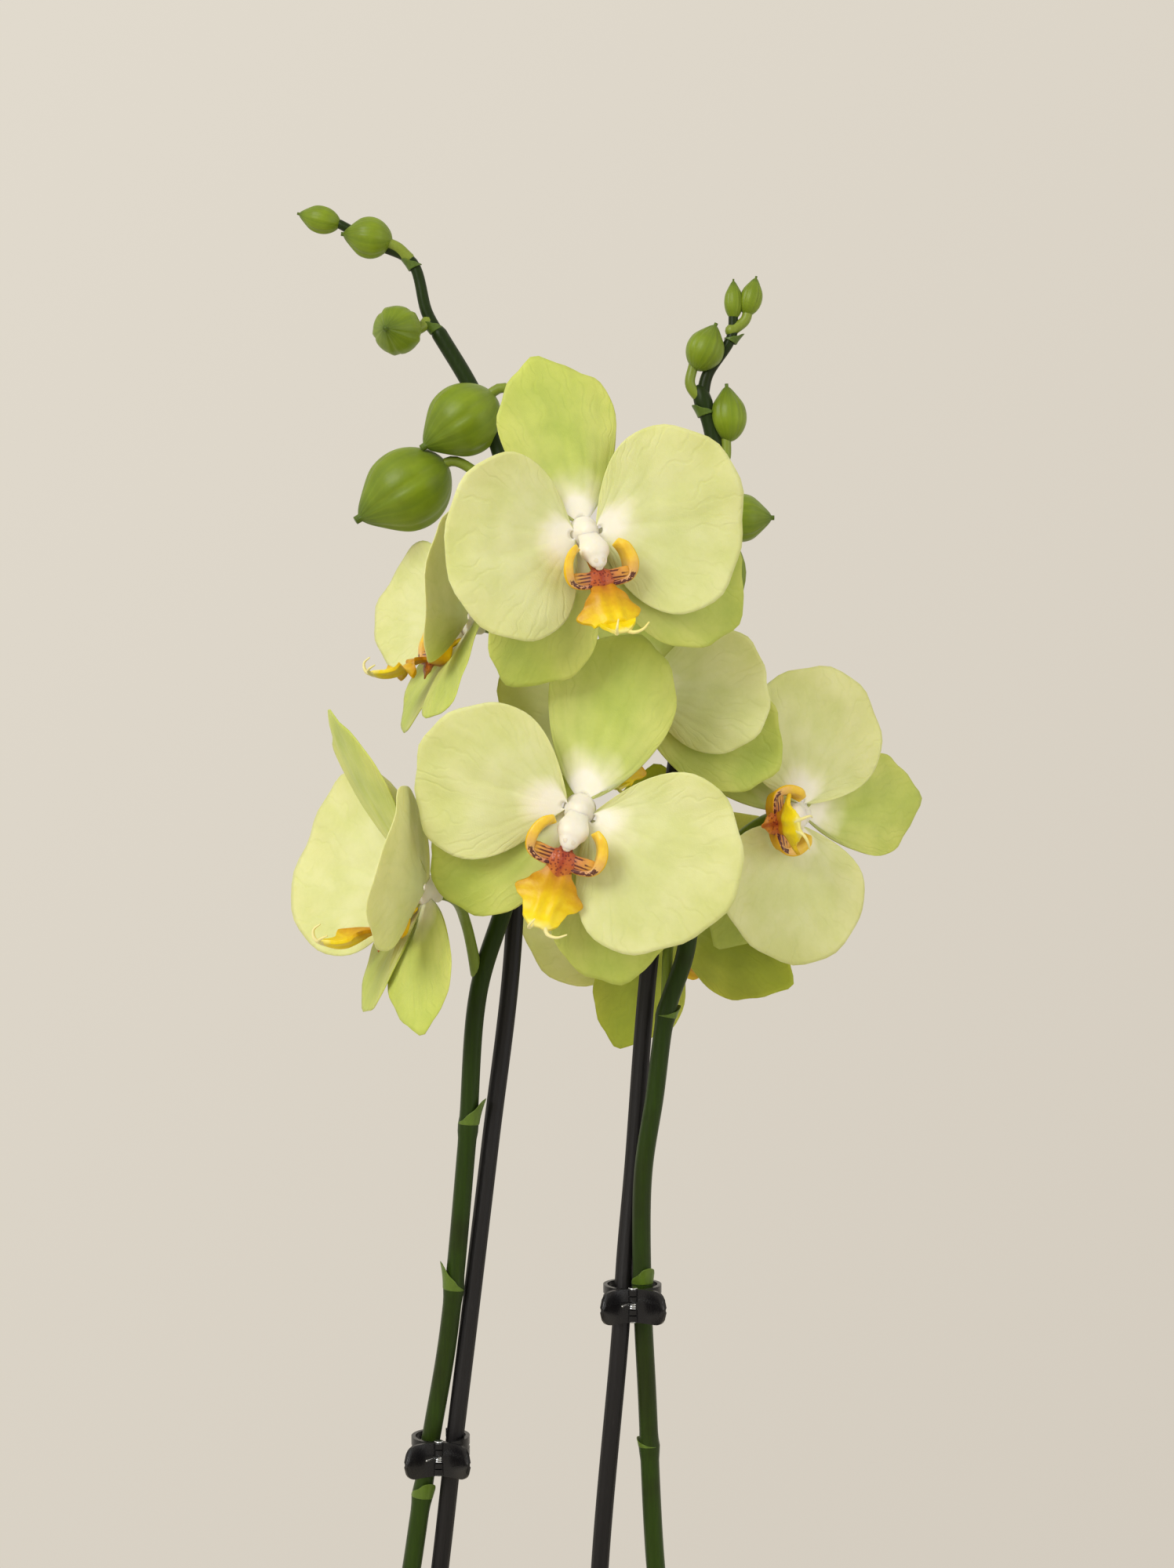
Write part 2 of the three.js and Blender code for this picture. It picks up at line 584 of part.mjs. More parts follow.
// The right-hand jaw's outline: a claw arc round the back and a lever towards the front.
function jawShapes() {
  const claw = new THREE.Shape();
  const arcStart = THREE.MathUtils.degToRad(-90);
  const arcEnd = THREE.MathUtils.degToRad(-90 + JAW_SWEEP);
  claw.absarc(0, CLAW_RADIUS, CLAW_RADIUS + CLAW_THICKNESS / 2, arcStart, arcEnd);
  claw.absarc(0, CLAW_RADIUS, CLAW_RADIUS - CLAW_THICKNESS / 2, arcEnd, arcStart, true);
  const lever = new THREE.Shape([
    new THREE.Vector2(LEVER_START, -CLAW_THICKNESS / 2),
    new THREE.Vector2(LEVER_LENGTH, -CLAW_THICKNESS / 2),
    new THREE.Vector2(LEVER_LENGTH, CLAW_THICKNESS / 2),
    new THREE.Vector2(LEVER_START, CLAW_THICKNESS / 2),
  ]);
  return { claw, lever };
}

function jaw(lugs, half) {
  const { claw, lever } = jawShapes();
  const layer = (bottom, top) => {
    const arm = slab(lever, bottom, top).rotateZ(THREE.MathUtils.degToRad(LEVER_ANGLE - 90));
    return [slab(claw, bottom, top, 4), arm];
  };
  const clearRadius = HUB_RADIUS + HUB_CLEARANCE;
  const hubClearance = new THREE.CylinderGeometry(clearRadius, clearRadius, 2 * CLIP_HEIGHT, 12);
  const fingerSlots = FINGER_SLOT_HEIGHTS.map((height) => {
    return new THREE.BoxGeometry(4 * CLAW_RADIUS, FINGER_SLOT_DEPTH, FINGER_SLOT_WIDTH)
      .translate(0, FINGER_SLOT_OFFSET, height);
  });
  const blades = cut(
    join(layer(-CLIP_HEIGHT / 2, CLIP_HEIGHT / 2)),
    [hubClearance.rotateX(Math.PI / 2), ...fingerSlots]);
  const knuckles = lugs.flatMap(([bottom, top]) => {
    return [slab(roundSection(HUB_RADIUS), bottom, top), ...layer(bottom, top)];
  });
  const whole = join([blades, ...knuckles]);
  return half === "right" ? whole : mirrored(whole);
}

function pin(radius, length) {
  return new THREE.CylinderGeometry(radius, radius, length, 8).rotateX(Math.PI / 2);
}

// A torsion spring round the pin, with one leg along the inside of the fixed jaw's lever.
function spring() {
  const half = SPRING_TURNS * SPRING_PITCH / 2;
  const legAngle = THREE.MathUtils.degToRad(270 - LEVER_ANGLE + 12);
  const steps = SPRING_TURNS * 6;
  const coil = Array.from({ length: steps + 1 }, (_, i) => {
    const turn = i / steps;
    const angle = legAngle + Math.PI / 2 + 2 * Math.PI * SPRING_TURNS * turn;
    return [SPRING_COIL_RADIUS * Math.cos(angle), SPRING_COIL_RADIUS * Math.sin(angle),
      half - 2 * half * turn];
  });
  const foot = coil[0];
  const leg = [7, 3.5].map((reach) => {
    return [foot[0] + reach * Math.cos(legAngle), foot[1] + reach * Math.sin(legAngle), half];
  });
  return tube([...leg, ...coil], SPRING_WIRE_RADIUS, 4, 30);
}

for (const [name, place] of Object.entries(CLIPS)) {
  const group = new THREE.Group();
  group.position.set(...place);
  const fixedJaw = cut(jaw(FIXED_LUGS, "left"), [pin(PIN_RADIUS + GAP, 2 * CLIP_HEIGHT)]);
  const swingingJaw = join([jaw(SWINGING_LUGS, "right"), pin(PIN_RADIUS, CLIP_HEIGHT)]);
  addMesh(group, `${name}_fixed_jaw`, fixedJaw, material(CLIP_COLOUR, 0.25));
  addMesh(group, `${name}_swinging_jaw`, swingingJaw, material(CLIP_COLOUR, 0.25));
  addMesh(group, `${name}_spring`, spring(), material(STEEL_COLOUR, 0.3, 1));
  orchid.add(group);
}

export default orchid;
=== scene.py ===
"""A moth orchid with two flower spikes in a plain pot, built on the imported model's frame.

Design values are in millimetres in each piece's own frame and become metres in make_piece().
"""
import math
import random

import bmesh
import bpy
from mathutils import Matrix, Vector


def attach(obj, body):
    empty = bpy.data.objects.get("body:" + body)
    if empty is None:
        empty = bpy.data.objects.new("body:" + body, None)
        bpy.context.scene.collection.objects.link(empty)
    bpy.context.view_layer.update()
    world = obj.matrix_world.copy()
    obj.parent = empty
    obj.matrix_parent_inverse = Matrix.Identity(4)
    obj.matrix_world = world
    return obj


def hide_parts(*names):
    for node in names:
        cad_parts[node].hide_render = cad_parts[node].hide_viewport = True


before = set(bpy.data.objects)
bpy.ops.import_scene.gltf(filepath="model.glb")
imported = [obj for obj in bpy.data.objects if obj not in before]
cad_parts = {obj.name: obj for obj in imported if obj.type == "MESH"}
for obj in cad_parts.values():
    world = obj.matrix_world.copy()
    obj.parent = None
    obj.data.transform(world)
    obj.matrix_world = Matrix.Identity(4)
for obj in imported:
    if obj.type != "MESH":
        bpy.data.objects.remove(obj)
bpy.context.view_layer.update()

MM = 0.001
rng = random.Random(11)


# ---------------------------------------------------------------- camera, light and floor
# Places and sizes in this section are in metres, colours in sRGB from 0 to 255.
CAMERA_PLACE = (0.015, -0.7, 0.45)
CAMERA_LENS = 56
FLOOR_RADIUS = 0.6

FLOOR_LEVEL = -0.0002

WALL_LIGHT = (226, 219, 206)
WALL_SHADE = (211, 203, 190)
WALL_SLOPE = (-0.8, 0, 0.9)  # the way in which the wall goes from shade to light
FLOOR_COLOUR = (222, 216, 203)


def linear(colour):
    """An sRGB colour, 0 to 255, as the linear RGBA that shaders take."""
    parts = [c / 255 for c in colour]
    return (*[p / 12.92 if p <= 0.04045 else ((p + 0.055) / 1.055) ** 2.4 for p in parts], 1)


def make_camera():
    data = bpy.data.cameras.new("camera")
    data.lens = CAMERA_LENS
    data.clip_start = 0.01
    camera = bpy.data.objects.new("camera", data)
    camera.location = CAMERA_PLACE
    camera.rotation_euler = (math.radians(90), 0, 0)
    bpy.context.collection.objects.link(camera)
    bpy.context.scene.camera = camera


def make_light(name, place, target, size, power, colour):
    data = bpy.data.lights.new(name, "AREA")
    data.shape = "DISK"
    data.size = size
    data.energy = power
    data.color = linear(colour)[:3]
    light = bpy.data.objects.new(name, data)
    light.location = place
    light.rotation_euler = (Vector(target) - Vector(place)).to_track_quat("-Z", "Y").to_euler()
    bpy.context.collection.objects.link(light)


def add_node(tree, kind, feeds, **settings):
    """A node whose inputs are linked to sockets or set to values."""
    node = tree.nodes.new(kind)
    for key, value in settings.items():
        setattr(node, key, value)
    for socket, value in feeds.items():
        if isinstance(value, bpy.types.NodeSocket):
            tree.links.new(value, node.inputs[socket])
        else:
            node.inputs[socket].default_value = value
    return node


def make_world(ambient):
    """A warm pale wall colour all round. ambient scales only the light it gives the object."""
    world = bpy.data.worlds.new("studio")
    world.use_nodes = True
    tree = world.node_tree
    way = add_node(tree, "ShaderNodeTexCoord", {}).outputs["Generated"]
    slope = add_node(tree, "ShaderNodeVectorMath", {0: way, 1: WALL_SLOPE}, operation="DOT_PRODUCT")
    feeds = {"Value": slope.outputs["Value"], "From Min": -0.5, "From Max": 0.5}
    shade = add_node(tree, "ShaderNodeMapRange", feeds).outputs[0]
    feeds = {0: shade, 6: linear(WALL_SHADE), 7: linear(WALL_LIGHT)}
    wall = add_node(tree, "ShaderNodeMix", feeds, data_type="RGBA").outputs[2]
    feeds = {"Value": add_node(tree, "ShaderNodeLightPath", {}).outputs["Is Camera Ray"]}
    seen = add_node(tree, "ShaderNodeMapRange", {**feeds, "To Min": ambient, "To Max": 1}).outputs[0]
    background = tree.nodes["Background"]
    tree.links.new(wall, background.inputs["Color"])
    tree.links.new(seen, background.inputs["Strength"])
    bpy.context.scene.world = world


make_camera()
make_world(ambient=0.98)
make_light("key", (-0.9, -1.3, 1.3), (0.02, 0, 0.42), size=0.9, power=19, colour=(253, 252, 250))
make_light("fill", (1.3, -0.8, 0.7), (0.02, 0, 0.4), size=1.2, power=5, colour=(245, 250, 255))
bpy.context.scene.view_settings.view_transform = "Standard"


# ---------------------------------------------------------------- material building
class Look:
    """One procedural material: a Principled shader and the nodes that feed it."""

    def __init__(self, settings):
        self.material = bpy.data.materials.new("look")
        self.material.use_nodes = True
        self.tree = self.material.node_tree
        self.shader = self.tree.nodes["Principled BSDF"]
        for socket, value in settings.items():
            self.shader.inputs[socket].default_value = value

    def add(self, kind, feeds, **settings):
        return add_node(self.tree, kind, feeds, **settings)

    def place(self, stretch=(1, 1, 1)):
        """The surface point in its piece's own frame, in millimetres."""
        place = self.add("ShaderNodeAttribute", {}, attribute_name="place").outputs["Vector"]
        return self.add("ShaderNodeVectorMath", {0: place, 1: stretch}, operation="MULTIPLY").outputs[0]

    def along(self, axis):
        """One coordinate of the surface: u or v of its map, or x, y or z of its place."""
        if axis in "uv":
            source = self.add("ShaderNodeUVMap", {}, uv_map="surface").outputs[0]
            axis = "xy"["uv".index(axis)]
        else:
            source = self.place()
        return self.add("ShaderNodeSeparateXYZ", {0: source}).outputs["xyz".index(axis)]

    def noise(self, size, detail=2, stretch=(1, 1, 1), roughness=0.5):
        """Noise with features of about the given size in millimetres."""
        feeds = {"Vector": self.place(stretch), "Scale": 1 / size, "Detail": detail, "Roughness": roughness}
        return self.add("ShaderNodeTexNoise", feeds).outputs[0]

    def cells(self, size):
        """Distance from the nearest of scattered points about the given size apart."""
        feeds = {"Vector": self.place(), "Scale": 1 / size}
        return self.add("ShaderNodeTexVoronoi", feeds).outputs["Distance"]

    def math(self, operation, *values):
        return self.add("ShaderNodeMath", dict(enumerate(values)), operation=operation).outputs[0]

    def times(self, first, second):
        return self.math("MULTIPLY", first, second)

    def wander(self, coordinate, size, amount):
        """The coordinate, shifted to and fro by noise with features of the given size."""
        shift = self.math("MULTIPLY_ADD", self.noise(size), amount, -amount / 2)
        return self.math("ADD", coordinate, shift)

    def off_middle(self, coordinate):
        """How far a coordinate from 0 to 1 is from its middle."""
        return self.math("ABSOLUTE", self.math("SUBTRACT", coordinate, 0.5))

    def fade(self, value, start, end, low=0.0, high=1.0):
        """low up to start, then smoothly to high at end."""
        feeds = {"Value": value, "From Min": start, "From Max": end, "To Min": low, "To Max": high}
        return self.add("ShaderNodeMapRange", feeds, interpolation_type="SMOOTHSTEP").outputs[0]

    def ramp(self, factor, *stops):
        """Colours at positions from 0 to 1."""
        node = self.add("ShaderNodeValToRGB", {0: factor})
        elements = node.color_ramp.elements
        while len(elements) < len(stops):
            elements.new(0.5)
        for element, (position, colour) in zip(elements, stops):
            element.position = position
            element.color = linear(colour)
        return node.outputs[0]

    def mix(self, factor, first, second, blend="MIX"):
        feeds = {0: factor}
        for socket, value in ((6, first), (7, second)):
            feeds[socket] = value if isinstance(value, bpy.types.NodeSocket) else linear(value)
        return self.add("ShaderNodeMix", feeds, data_type="RGBA", blend_type=blend).outputs[2]

    def tint(self, colour, shade, mask, amount):
        """The colour, with that amount of a shade mixed in where the mask is 1."""
        return self.mix(self.times(mask, amount), colour, shade)

    def overlay(self, colour, amount, factor, dark, light):
        """The colour, darkened and lightened by a factor. dark and light are (position, grey)."""
        stops = [(position, (grey, grey, grey)) for position, grey in (dark, light)]
        return self.mix(amount, colour, self.ramp(factor, *stops), "OVERLAY")

    def mottle(self, colour, size, amount):
        """The colour, lighter and darker in patches of the given size in millimetres."""
        return self.overlay(colour, amount, self.noise(size, 3), (0.25, 60), (0.75, 195))

    def rows(self, coordinate, count, wobble=0.0, wobble_size=6):
        """1 in the middle of each of count lines across a coordinate from 0 to 1, 0 between them."""
        shifted = self.math("ADD", coordinate, self.times(self.noise(wobble_size), wobble))
        wave = self.math("SINE", self.times(shifted, count * 2 * math.pi))
        return self.math("MULTIPLY_ADD", wave, 0.5, 0.5)

    def finish(self, colour, height, depth, roughness=None):
        """Links the colour, a height of depth millimetres for the bump, and the roughness."""
        self.tree.links.new(colour, self.shader.inputs["Base Color"])
        bump = self.add("ShaderNodeBump", {"Height": height, "Distance": depth * MM, "Strength": 1})
        self.tree.links.new(bump.outputs[0], self.shader.inputs["Normal"])
        if roughness is not None:
            self.tree.links.new(roughness, self.shader.inputs["Roughness"])
        return self.material


FLESH = {
    "Roughness": 0.55,
    "Subsurface Weight": 0.35,
    "Subsurface Radius": (1.0, 0.85, 0.3),
    "Subsurface Scale": 0.0014,
    "Specular IOR Level": 0.35,
    "Sheen Weight": 0.08,
}
VEIN_COUNT = 11


def tepal_look(throat, body, rim, vein, stripe=None):
    """A sepal or petal: a pale throat, faint veins that fan out, broad folds, patches of partly uneven tone
    and partly painted fold shade, and a frosted skin.
    """
    look = Look(FLESH)
    along, across = look.along("u"), look.along("v")
    colour = look.ramp(look.wander(along, 9, 0.22), (0.12, throat), (0.34, body), (1, rim))
    if stripe:
        middle = look.off_middle(across)
        band = look.times(look.fade(middle, 0.02, 0.2, 1, 0), look.fade(along, 0.1, 0.4))
        colour = look.tint(colour, stripe, band, 0.55)
    veins = look.math("POWER", look.rows(across, VEIN_COUNT, 0.12, 14), 3)
    forks = look.math("POWER", look.rows(across, 2.5 * VEIN_COUNT, 0.12, 9), 4)
    forks = look.times(forks, look.fade(along, 0.45, 0.8))
    lines = look.math("MAXIMUM", veins, forks)
    lines = look.times(lines, look.fade(along, 0.08, 0.4))
    colour = look.tint(colour, vein, lines, 0.12)
    tinge = look.fade(look.noise(16, 2), 0.4, 0.7, 0, 0.4)
    colour = look.mix(tinge, colour, vein)
    # Partly uneven tone and partly painted shade. These 13 mm patches follow much the same noise as the fold
    # bump below, so they are lighter on the folds' crests and darker in their hollows.
    colour = look.mottle(colour, 13, 0.26)
    colour = look.mottle(colour, 1.2, 0.06)
    skin = look.times(look.cells(0.45), 0.08)
    folds = look.times(look.noise(13, 1), 5)
    height = look.math("ADD", look.math("SUBTRACT", skin, look.times(lines, 0.35)), folds)
    return look.finish(colour, height, 0.22)


def lip_look(*stops, streak=None, blotch=None):
    """Waxy yellow flesh, shaded along the piece, with an optional red streak and blotches."""
    look = Look({**FLESH, "Roughness": 0.42, "Subsurface Weight": 0.12, "Sheen Weight": 0})
    along, across = look.along("u"), look.along("v")
    colour = look.ramp(look.wander(along, 3, 0.12), *stops)
    middle = look.off_middle(across)
    if streak:
        line = look.times(look.fade(middle, 0.02, 0.13, 1, 0), look.fade(along, 0.1, 0.42, 1, 0))
        colour = look.tint(colour, streak, line, 0.85)
    if blotch:
        patch = look.times(look.fade(middle, 0.2, 0.42), look.fade(along, 0.75, 0.4))
        colour = look.tint(colour, blotch, patch, 0.6)
    colour = look.mottle(colour, 1.6, 0.25)
    return look.finish(colour, look.noise(0.8, 3), 0.06)


def dashed_look():
    """The inside of the side lobes: cream and pink with rows of maroon dashes near the middle."""
    look = Look({**FLESH, "Roughness": 0.36})
    along, across = look.along("u"), look.along("v")
    off_centre = look.off_middle(along)
    colour = look.ramp(off_centre, (0.0, (176, 92, 56)), (0.1, (196, 130, 100)), (0.24, (222, 180, 110)),
                       (0.36, (234, 200, 60)))
    rows = look.math("POWER", look.rows(across, 5, 0.05, 2), 1.5)
    breaks = look.fade(look.noise(1.1, 2), 0.42, 0.5)
    near = look.times(look.fade(off_centre, 0.3, 0.2), look.fade(off_centre, 0.04, 0.09))
    dashes = look.times(look.times(rows, breaks), near)
    colour = look.mix(look.times(look.fade(dashes, 0.25, 0.5), 0.92), colour, (74, 14, 26))
    return look.finish(look.mottle(colour, 1.2, 0.2), look.noise(0.8, 3), 0.05)


def arm_foot_look():
    """Pale pink flesh crossed by rows of maroon dashes that point out along the arms."""
    look = Look({**FLESH, "Roughness": 0.36})
    colour = look.ramp(look.along("v"), (0.0, (170, 74, 40)), (0.35, (190, 112, 70)), (0.8, (214, 160, 70)),
                       (1.0, (216, 166, 30)))
    rows = look.fade(look.math("SINE", look.times(look.along("y"), 6.4)), -0.2, 0.35)
    breaks = look.fade(look.noise(1.6, 1, (0.7, 1.6, 1)), 0.36, 0.44)
    fade_out = look.fade(look.along("v"), 0.95, 0.7)
    dashes = look.times(look.times(rows, breaks), fade_out)
    colour = look.tint(colour, (78, 14, 26), dashes, 0.9)
    return look.finish(look.mottle(colour, 1.2, 0.2), look.noise(0.8, 3), 0.05)


def callus_look():
    """The warty heart of the lip: orange flesh under deep red speckles."""
    look = Look({**FLESH, "Roughness": 0.34})
    base = look.ramp(look.along("v"), (0.1, (160, 70, 40)), (0.45, (184, 92, 44)), (0.7, (196, 116, 34)),
                     (1.0, (206, 150, 4)))
    streak = look.math("ABSOLUTE", look.along("x"))
    colour = look.mix(look.fade(streak, 0.2, 1.3, 0.6, 0), base, (140, 32, 26))
    dots = look.fade(look.cells(0.85), 0.42, 0.24)
    speckled = look.times(dots, look.fade(look.along("v"), 0.95, 0.6, 0, 0.75))
    colour = look.mix(speckled, colour, (98, 20, 24))
    return look.finish(colour, look.cells(0.75), 0.12)


def column_look(base, tip):
    look = Look({**FLESH, "Roughness": 0.38, "Subsurface Weight": 0.5})
    colour = look.ramp(look.along("v"), (0.1, base), (0.5, tip))
    return look.finish(look.mottle(colour, 1.5, 0.12), look.noise(0.7, 3), 0.03)


def green_look(low, high, flush, settings=None, top=560, speckle=0.25):
    """Stem flesh: green that pales with height, lengthwise streaks and darker flushes."""
    look = Look({**FLESH, "Roughness": 0.4, "Subsurface Weight": 0.12, **(settings or {})})
    height = look.math("DIVIDE", look.along("z"), top)
    colour = look.ramp(look.wander(height, 30, 0.3), (0.3, low), (0.95, high))
    patches = look.fade(look.noise(22, 3), 0.45, 0.7)
    colour = look.tint(colour, flush, patches, 0.55)
    streaks = look.noise(0.9, 3, (1, 1, 0.06))
    return look.finish(look.overlay(colour, speckle, streaks, (0.3, 70), (0.7, 185)), streaks, 0.1)


def bud_look():
    """Bud flesh: yellow-green, deeper green along its seams and at the tip, finely ribbed."""
    look = Look({**FLESH, "Roughness": 0.45, "Subsurface Weight": 0.25})
    around, along = look.along("u"), look.along("v")
    colour = look.ramp(along, (0.0, (112, 134, 14)), (0.35, (124, 146, 12)), (0.8, (108, 130, 8)),
                       (1.0, (72, 96, 8)))
    seams = look.math("POWER", look.rows(around, 5), 14)
    colour = look.tint(colour, (96, 122, 14), seams, 0.35)
    ribs = look.math("POWER", look.rows(around, 20, 0.04, 8), 3)
    colour = look.tint(colour, (156, 172, 40), ribs, 0.12)
    height = look.math("SUBTRACT", look.noise(2.5, 3), look.times(ribs, 0.3))
    return look.finish(look.mottle(colour, 6, 0.25), height, 0.1)


def leaf_look(blade, rib, settings):
    """A leathery strap leaf with close parallel veins and a paler midrib."""
    look = Look({"Specular IOR Level": 0.5, **settings})
    along, across = look.along("u"), look.along("v")
    middle = look.off_middle(across)
    colour = look.mix(look.times(look.fade(middle, 0.0, 0.05, 1, 0), 0.5), blade, rib)
    veins = look.rows(across, 34, 0.01, 25)
    colour = look.tint(colour, rib, veins, 0.14)
    colour = look.mix(look.fade(along, 0.3, 0.0, 0, 0.45), colour, rib)
    colour = look.mottle(look.mottle(colour, 16, 0.3), 1.5, 0.12)
    worn = look.fade(look.noise(12, 4), 0.35, 0.75, 0.26, 0.46)
    height = look.math("ADD", look.times(veins, 0.4), look.noise(3, 3))
    return look.finish(colour, height, 0.12, worn)


def bark_look():
    look = Look({"Roughness": 0.9, "Specular IOR Level": 0.25})
    colour = look.ramp(look.noise(6, 4, roughness=0.65), (0.25, (52, 32, 20)), (0.5, (104, 70, 44)),
                       (0.72, (148, 108, 72)))
    grain = look.noise(1.1, 5, (1, 0.25, 1), 0.7)
    return look.finish(look.overlay(colour, 0.6, grain, (0.3, 60), (0.7, 190)), grain, 0.7)


def root_look():
    look = Look({"Roughness": 0.75})
    colour = look.ramp(look.noise(9, 3), (0.3, (120, 132, 92)), (0.6, (176, 178, 158)),
                       (0.8, (150, 150, 120)))
    return look.finish(look.mottle(colour, 1, 0.3), look.noise(0.6, 4), 0.15)


def pot_look():
    """A satin glazed pot: warm white with a soft orange-peel surface and sparse fine pits."""
    look = Look({"Coat Weight": 0.4, "Coat Roughness": 0.12})
    colour = look.ramp(look.noise(40, 4), (0.3, (228, 222, 210)), (0.7, (240, 236, 227)))
    pits = look.fade(look.cells(5), 0.1, 0.05)
    colour = look.tint(colour, (176, 164, 146), pits, 0.35)
    height = look.math("SUBTRACT", look.noise(9, 1), look.times(pits, 0.25))
    return look.finish(colour, height, 0.05, look.fade(look.noise(14, 3), 0.3, 0.7, 0.2, 0.36))


def plastic_look(colour, roughness, ribbed=False):
    """Moulded plastic: fine flow marks, faint scuffs, and lengthwise ribs on the stakes."""
    look = Look({"Specular IOR Level": 0.35})
    scuffs = look.fade(look.noise(1.3, 5, (1, 1, 0.2), 0.7), 0.55, 0.8)
    shade = look.mix(look.times(scuffs, 0.15), colour, (70, 67, 66))
    shade = look.mottle(shade, 7, 0.2)
    height = look.noise(0.5, 3, (1, 1, 0.1) if ribbed else (1, 1, 1))
    worn = look.math("MULTIPLY_ADD", scuffs, 0.2, roughness)
    return look.finish(shade, height, 0.08 if ribbed else 0.03, worn)


def steel_look():
    look = Look({"Metallic": 1.0})
    colour = look.ramp(look.noise(2, 3), (0.3, (196, 199, 203)), (0.7, (226, 228, 230)))
    worn = look.fade(look.noise(0.8, 3), 0.3, 0.7, 0.16, 0.3)
    return look.finish(colour, look.noise(0.15, 2, (1, 1, 4)), 0.01, worn)


def floor_look():
    look = Look({"Roughness": 0.8})
    colour = look.ramp(look.noise(90), (0.2, FLOOR_COLOUR), (0.8, FLOOR_COLOUR))
    return look.finish(look.mottle(colour, 60, 0.04), look.noise(3, 4), 0.05)


WHITE = (248, 244, 230)
LOOKS = {
    "petal": tepal_look(WHITE, (219, 222, 172), (221, 222, 164), (198, 206, 118)),
    "petal_back": tepal_look((218, 224, 170), (222, 224, 168), (222, 223, 160), (196, 204, 116)),
    "sepal": tepal_look(WHITE, (208, 214, 130), (203, 208, 112), (172, 190, 70), (188, 202, 92)),
    "sepal_back": tepal_look((202, 210, 116), (192, 199, 80), (190, 196, 74), (156, 174, 50), (162, 182, 50)),
    "side_lobe": lip_look((0.0, (238, 208, 30)), (0.25, (226, 184, 4)), (0.4, (200, 140, 10)),
                          (0.5, (186, 104, 40)), (0.6, (200, 140, 10)), (0.75, (226, 184, 4)),
                          (1.0, (238, 208, 30))),
    "side_lobe_inside": dashed_look(),
    "midlobe": lip_look((0.0, (180, 92, 44)), (0.22, (196, 128, 20)), (0.42, (208, 162, 2)),
                        (0.6, (228, 198, 2)), (0.9, (238, 216, 10)), (1.0, (236, 228, 140)),
                        streak=(160, 40, 28), blotch=(194, 136, 2)),
    "arm_foot": arm_foot_look(),
    "callus": callus_look(),
    "cirrhus": lip_look((0.0, (238, 224, 130)), (1.0, (232, 226, 176))),
    "column": column_look((222, 218, 196), (232, 228, 214)),
    "anther": column_look((232, 227, 212), (228, 218, 196)),
    "stem": green_look((44, 66, 6), (30, 48, 4), (32, 32, 8), {"Specular IOR Level": 0.15}),
    "stalk": green_look((96, 122, 26), (130, 146, 44), (108, 126, 34), top=620, speckle=0.15),
    "bract": green_look((90, 116, 26), (84, 108, 26), (66, 84, 22)),
    "bud": bud_look(),
    "leaf": leaf_look((44, 82, 34), (96, 134, 62), {"Coat Weight": 0.25, "Coat Roughness": 0.2}),
    "leaf_back": leaf_look((78, 106, 58), (112, 132, 84), {}),
    "crown": green_look((74, 98, 44), (90, 116, 52), (92, 84, 48), {"Roughness": 0.6}, top=150),
    "bark": bark_look(),
    "root": root_look(),
    "pot": pot_look(),
    "stake": plastic_look((13, 10, 12), 0.5, ribbed=True),
    "clip": plastic_look((16, 15, 17), 0.26),
    "steel": steel_look(),
    "floor": floor_look(),
}
for look_name, look_material in LOOKS.items():
    look_material.name = look_name


# ---------------------------------------------------------------- mesh building
BEVEL_SEGMENTS = 3
BEVEL_ANGLE = 40  # only edges sharper than this many degrees are rounded
CURVE_STEPS = 20  # points of a smooth line between two of its given ones


class Skin:
    """Points, faces, and each face's map corners and kind of surface, gathered for one piece."""

    def __init__(self):
        self.points = []
        self.faces = []
        self.corners = []
        self.kinds = []

    def face(self, indices, corners, kind):
        self.faces.append(indices)
        self.corners.extend(corners)
        self.kinds.append(kind)

    def loft(self, rings):
        """Joins closed rings of points in order and closes both ends."""
        first, sides, last = len(self.points), len(rings[0]), len(rings) - 1
        for ring in rings:
            self.points.extend(ring)
        for j in range(last):
            for i in range(sides):
                steps = [(i, j), (i + 1, j), (i + 1, j + 1), (i, j + 1)]
                indices = [first + b * sides + a % sides for a, b in steps]
                self.face(indices, [(a / sides, b / last) for a, b in steps], 0)
        for j in (0, last):
            self.face([first + j * sides + i for i in range(sides)], [(0.5, j / last)] * sides, 0)

    def shell(self, point_at, columns, rows, kinds=(0, 0)):
        """A closed thin solid. point_at(u, v, side) is on its front for side 1, its back for -1."""
        first = len(self.points)
        layer = (columns + 1) * (rows + 1)
        for side in (1, -1):
            for j in range(rows + 1):
                for i in range(columns + 1):
                    self.points.append(Vector(point_at(i / columns, j / rows, side)))

        def put(steps, kind):
            indices = [first + f * layer + j * (columns + 1) + i for f, i, j in steps]
            self.face(indices, [(i / columns, j / rows) for _, i, j in steps], kind)

        for j in range(rows):
            for i in range(columns):
                put([(0, i, j), (0, i + 1, j), (0, i + 1, j + 1), (0, i, j + 1)], kinds[0])
                put([(1, i, j), (1, i, j + 1), (1, i + 1, j + 1), (1, i + 1, j)], kinds[1])
        rim = [(i, 0) for i in range(columns)] + [(columns, j) for j in range(rows)]
        rim += [(i, rows) for i in range(columns, 0, -1)] + [(0, j) for j in range(rows, 0, -1)]
        for (i0, j0), (i1, j1) in zip(rim, rim[1:] + rim[:1]):
            put([(0, i0, j0), (1, i0, j0), (1, i1, j1), (0, i1, j1)], kinds[0])


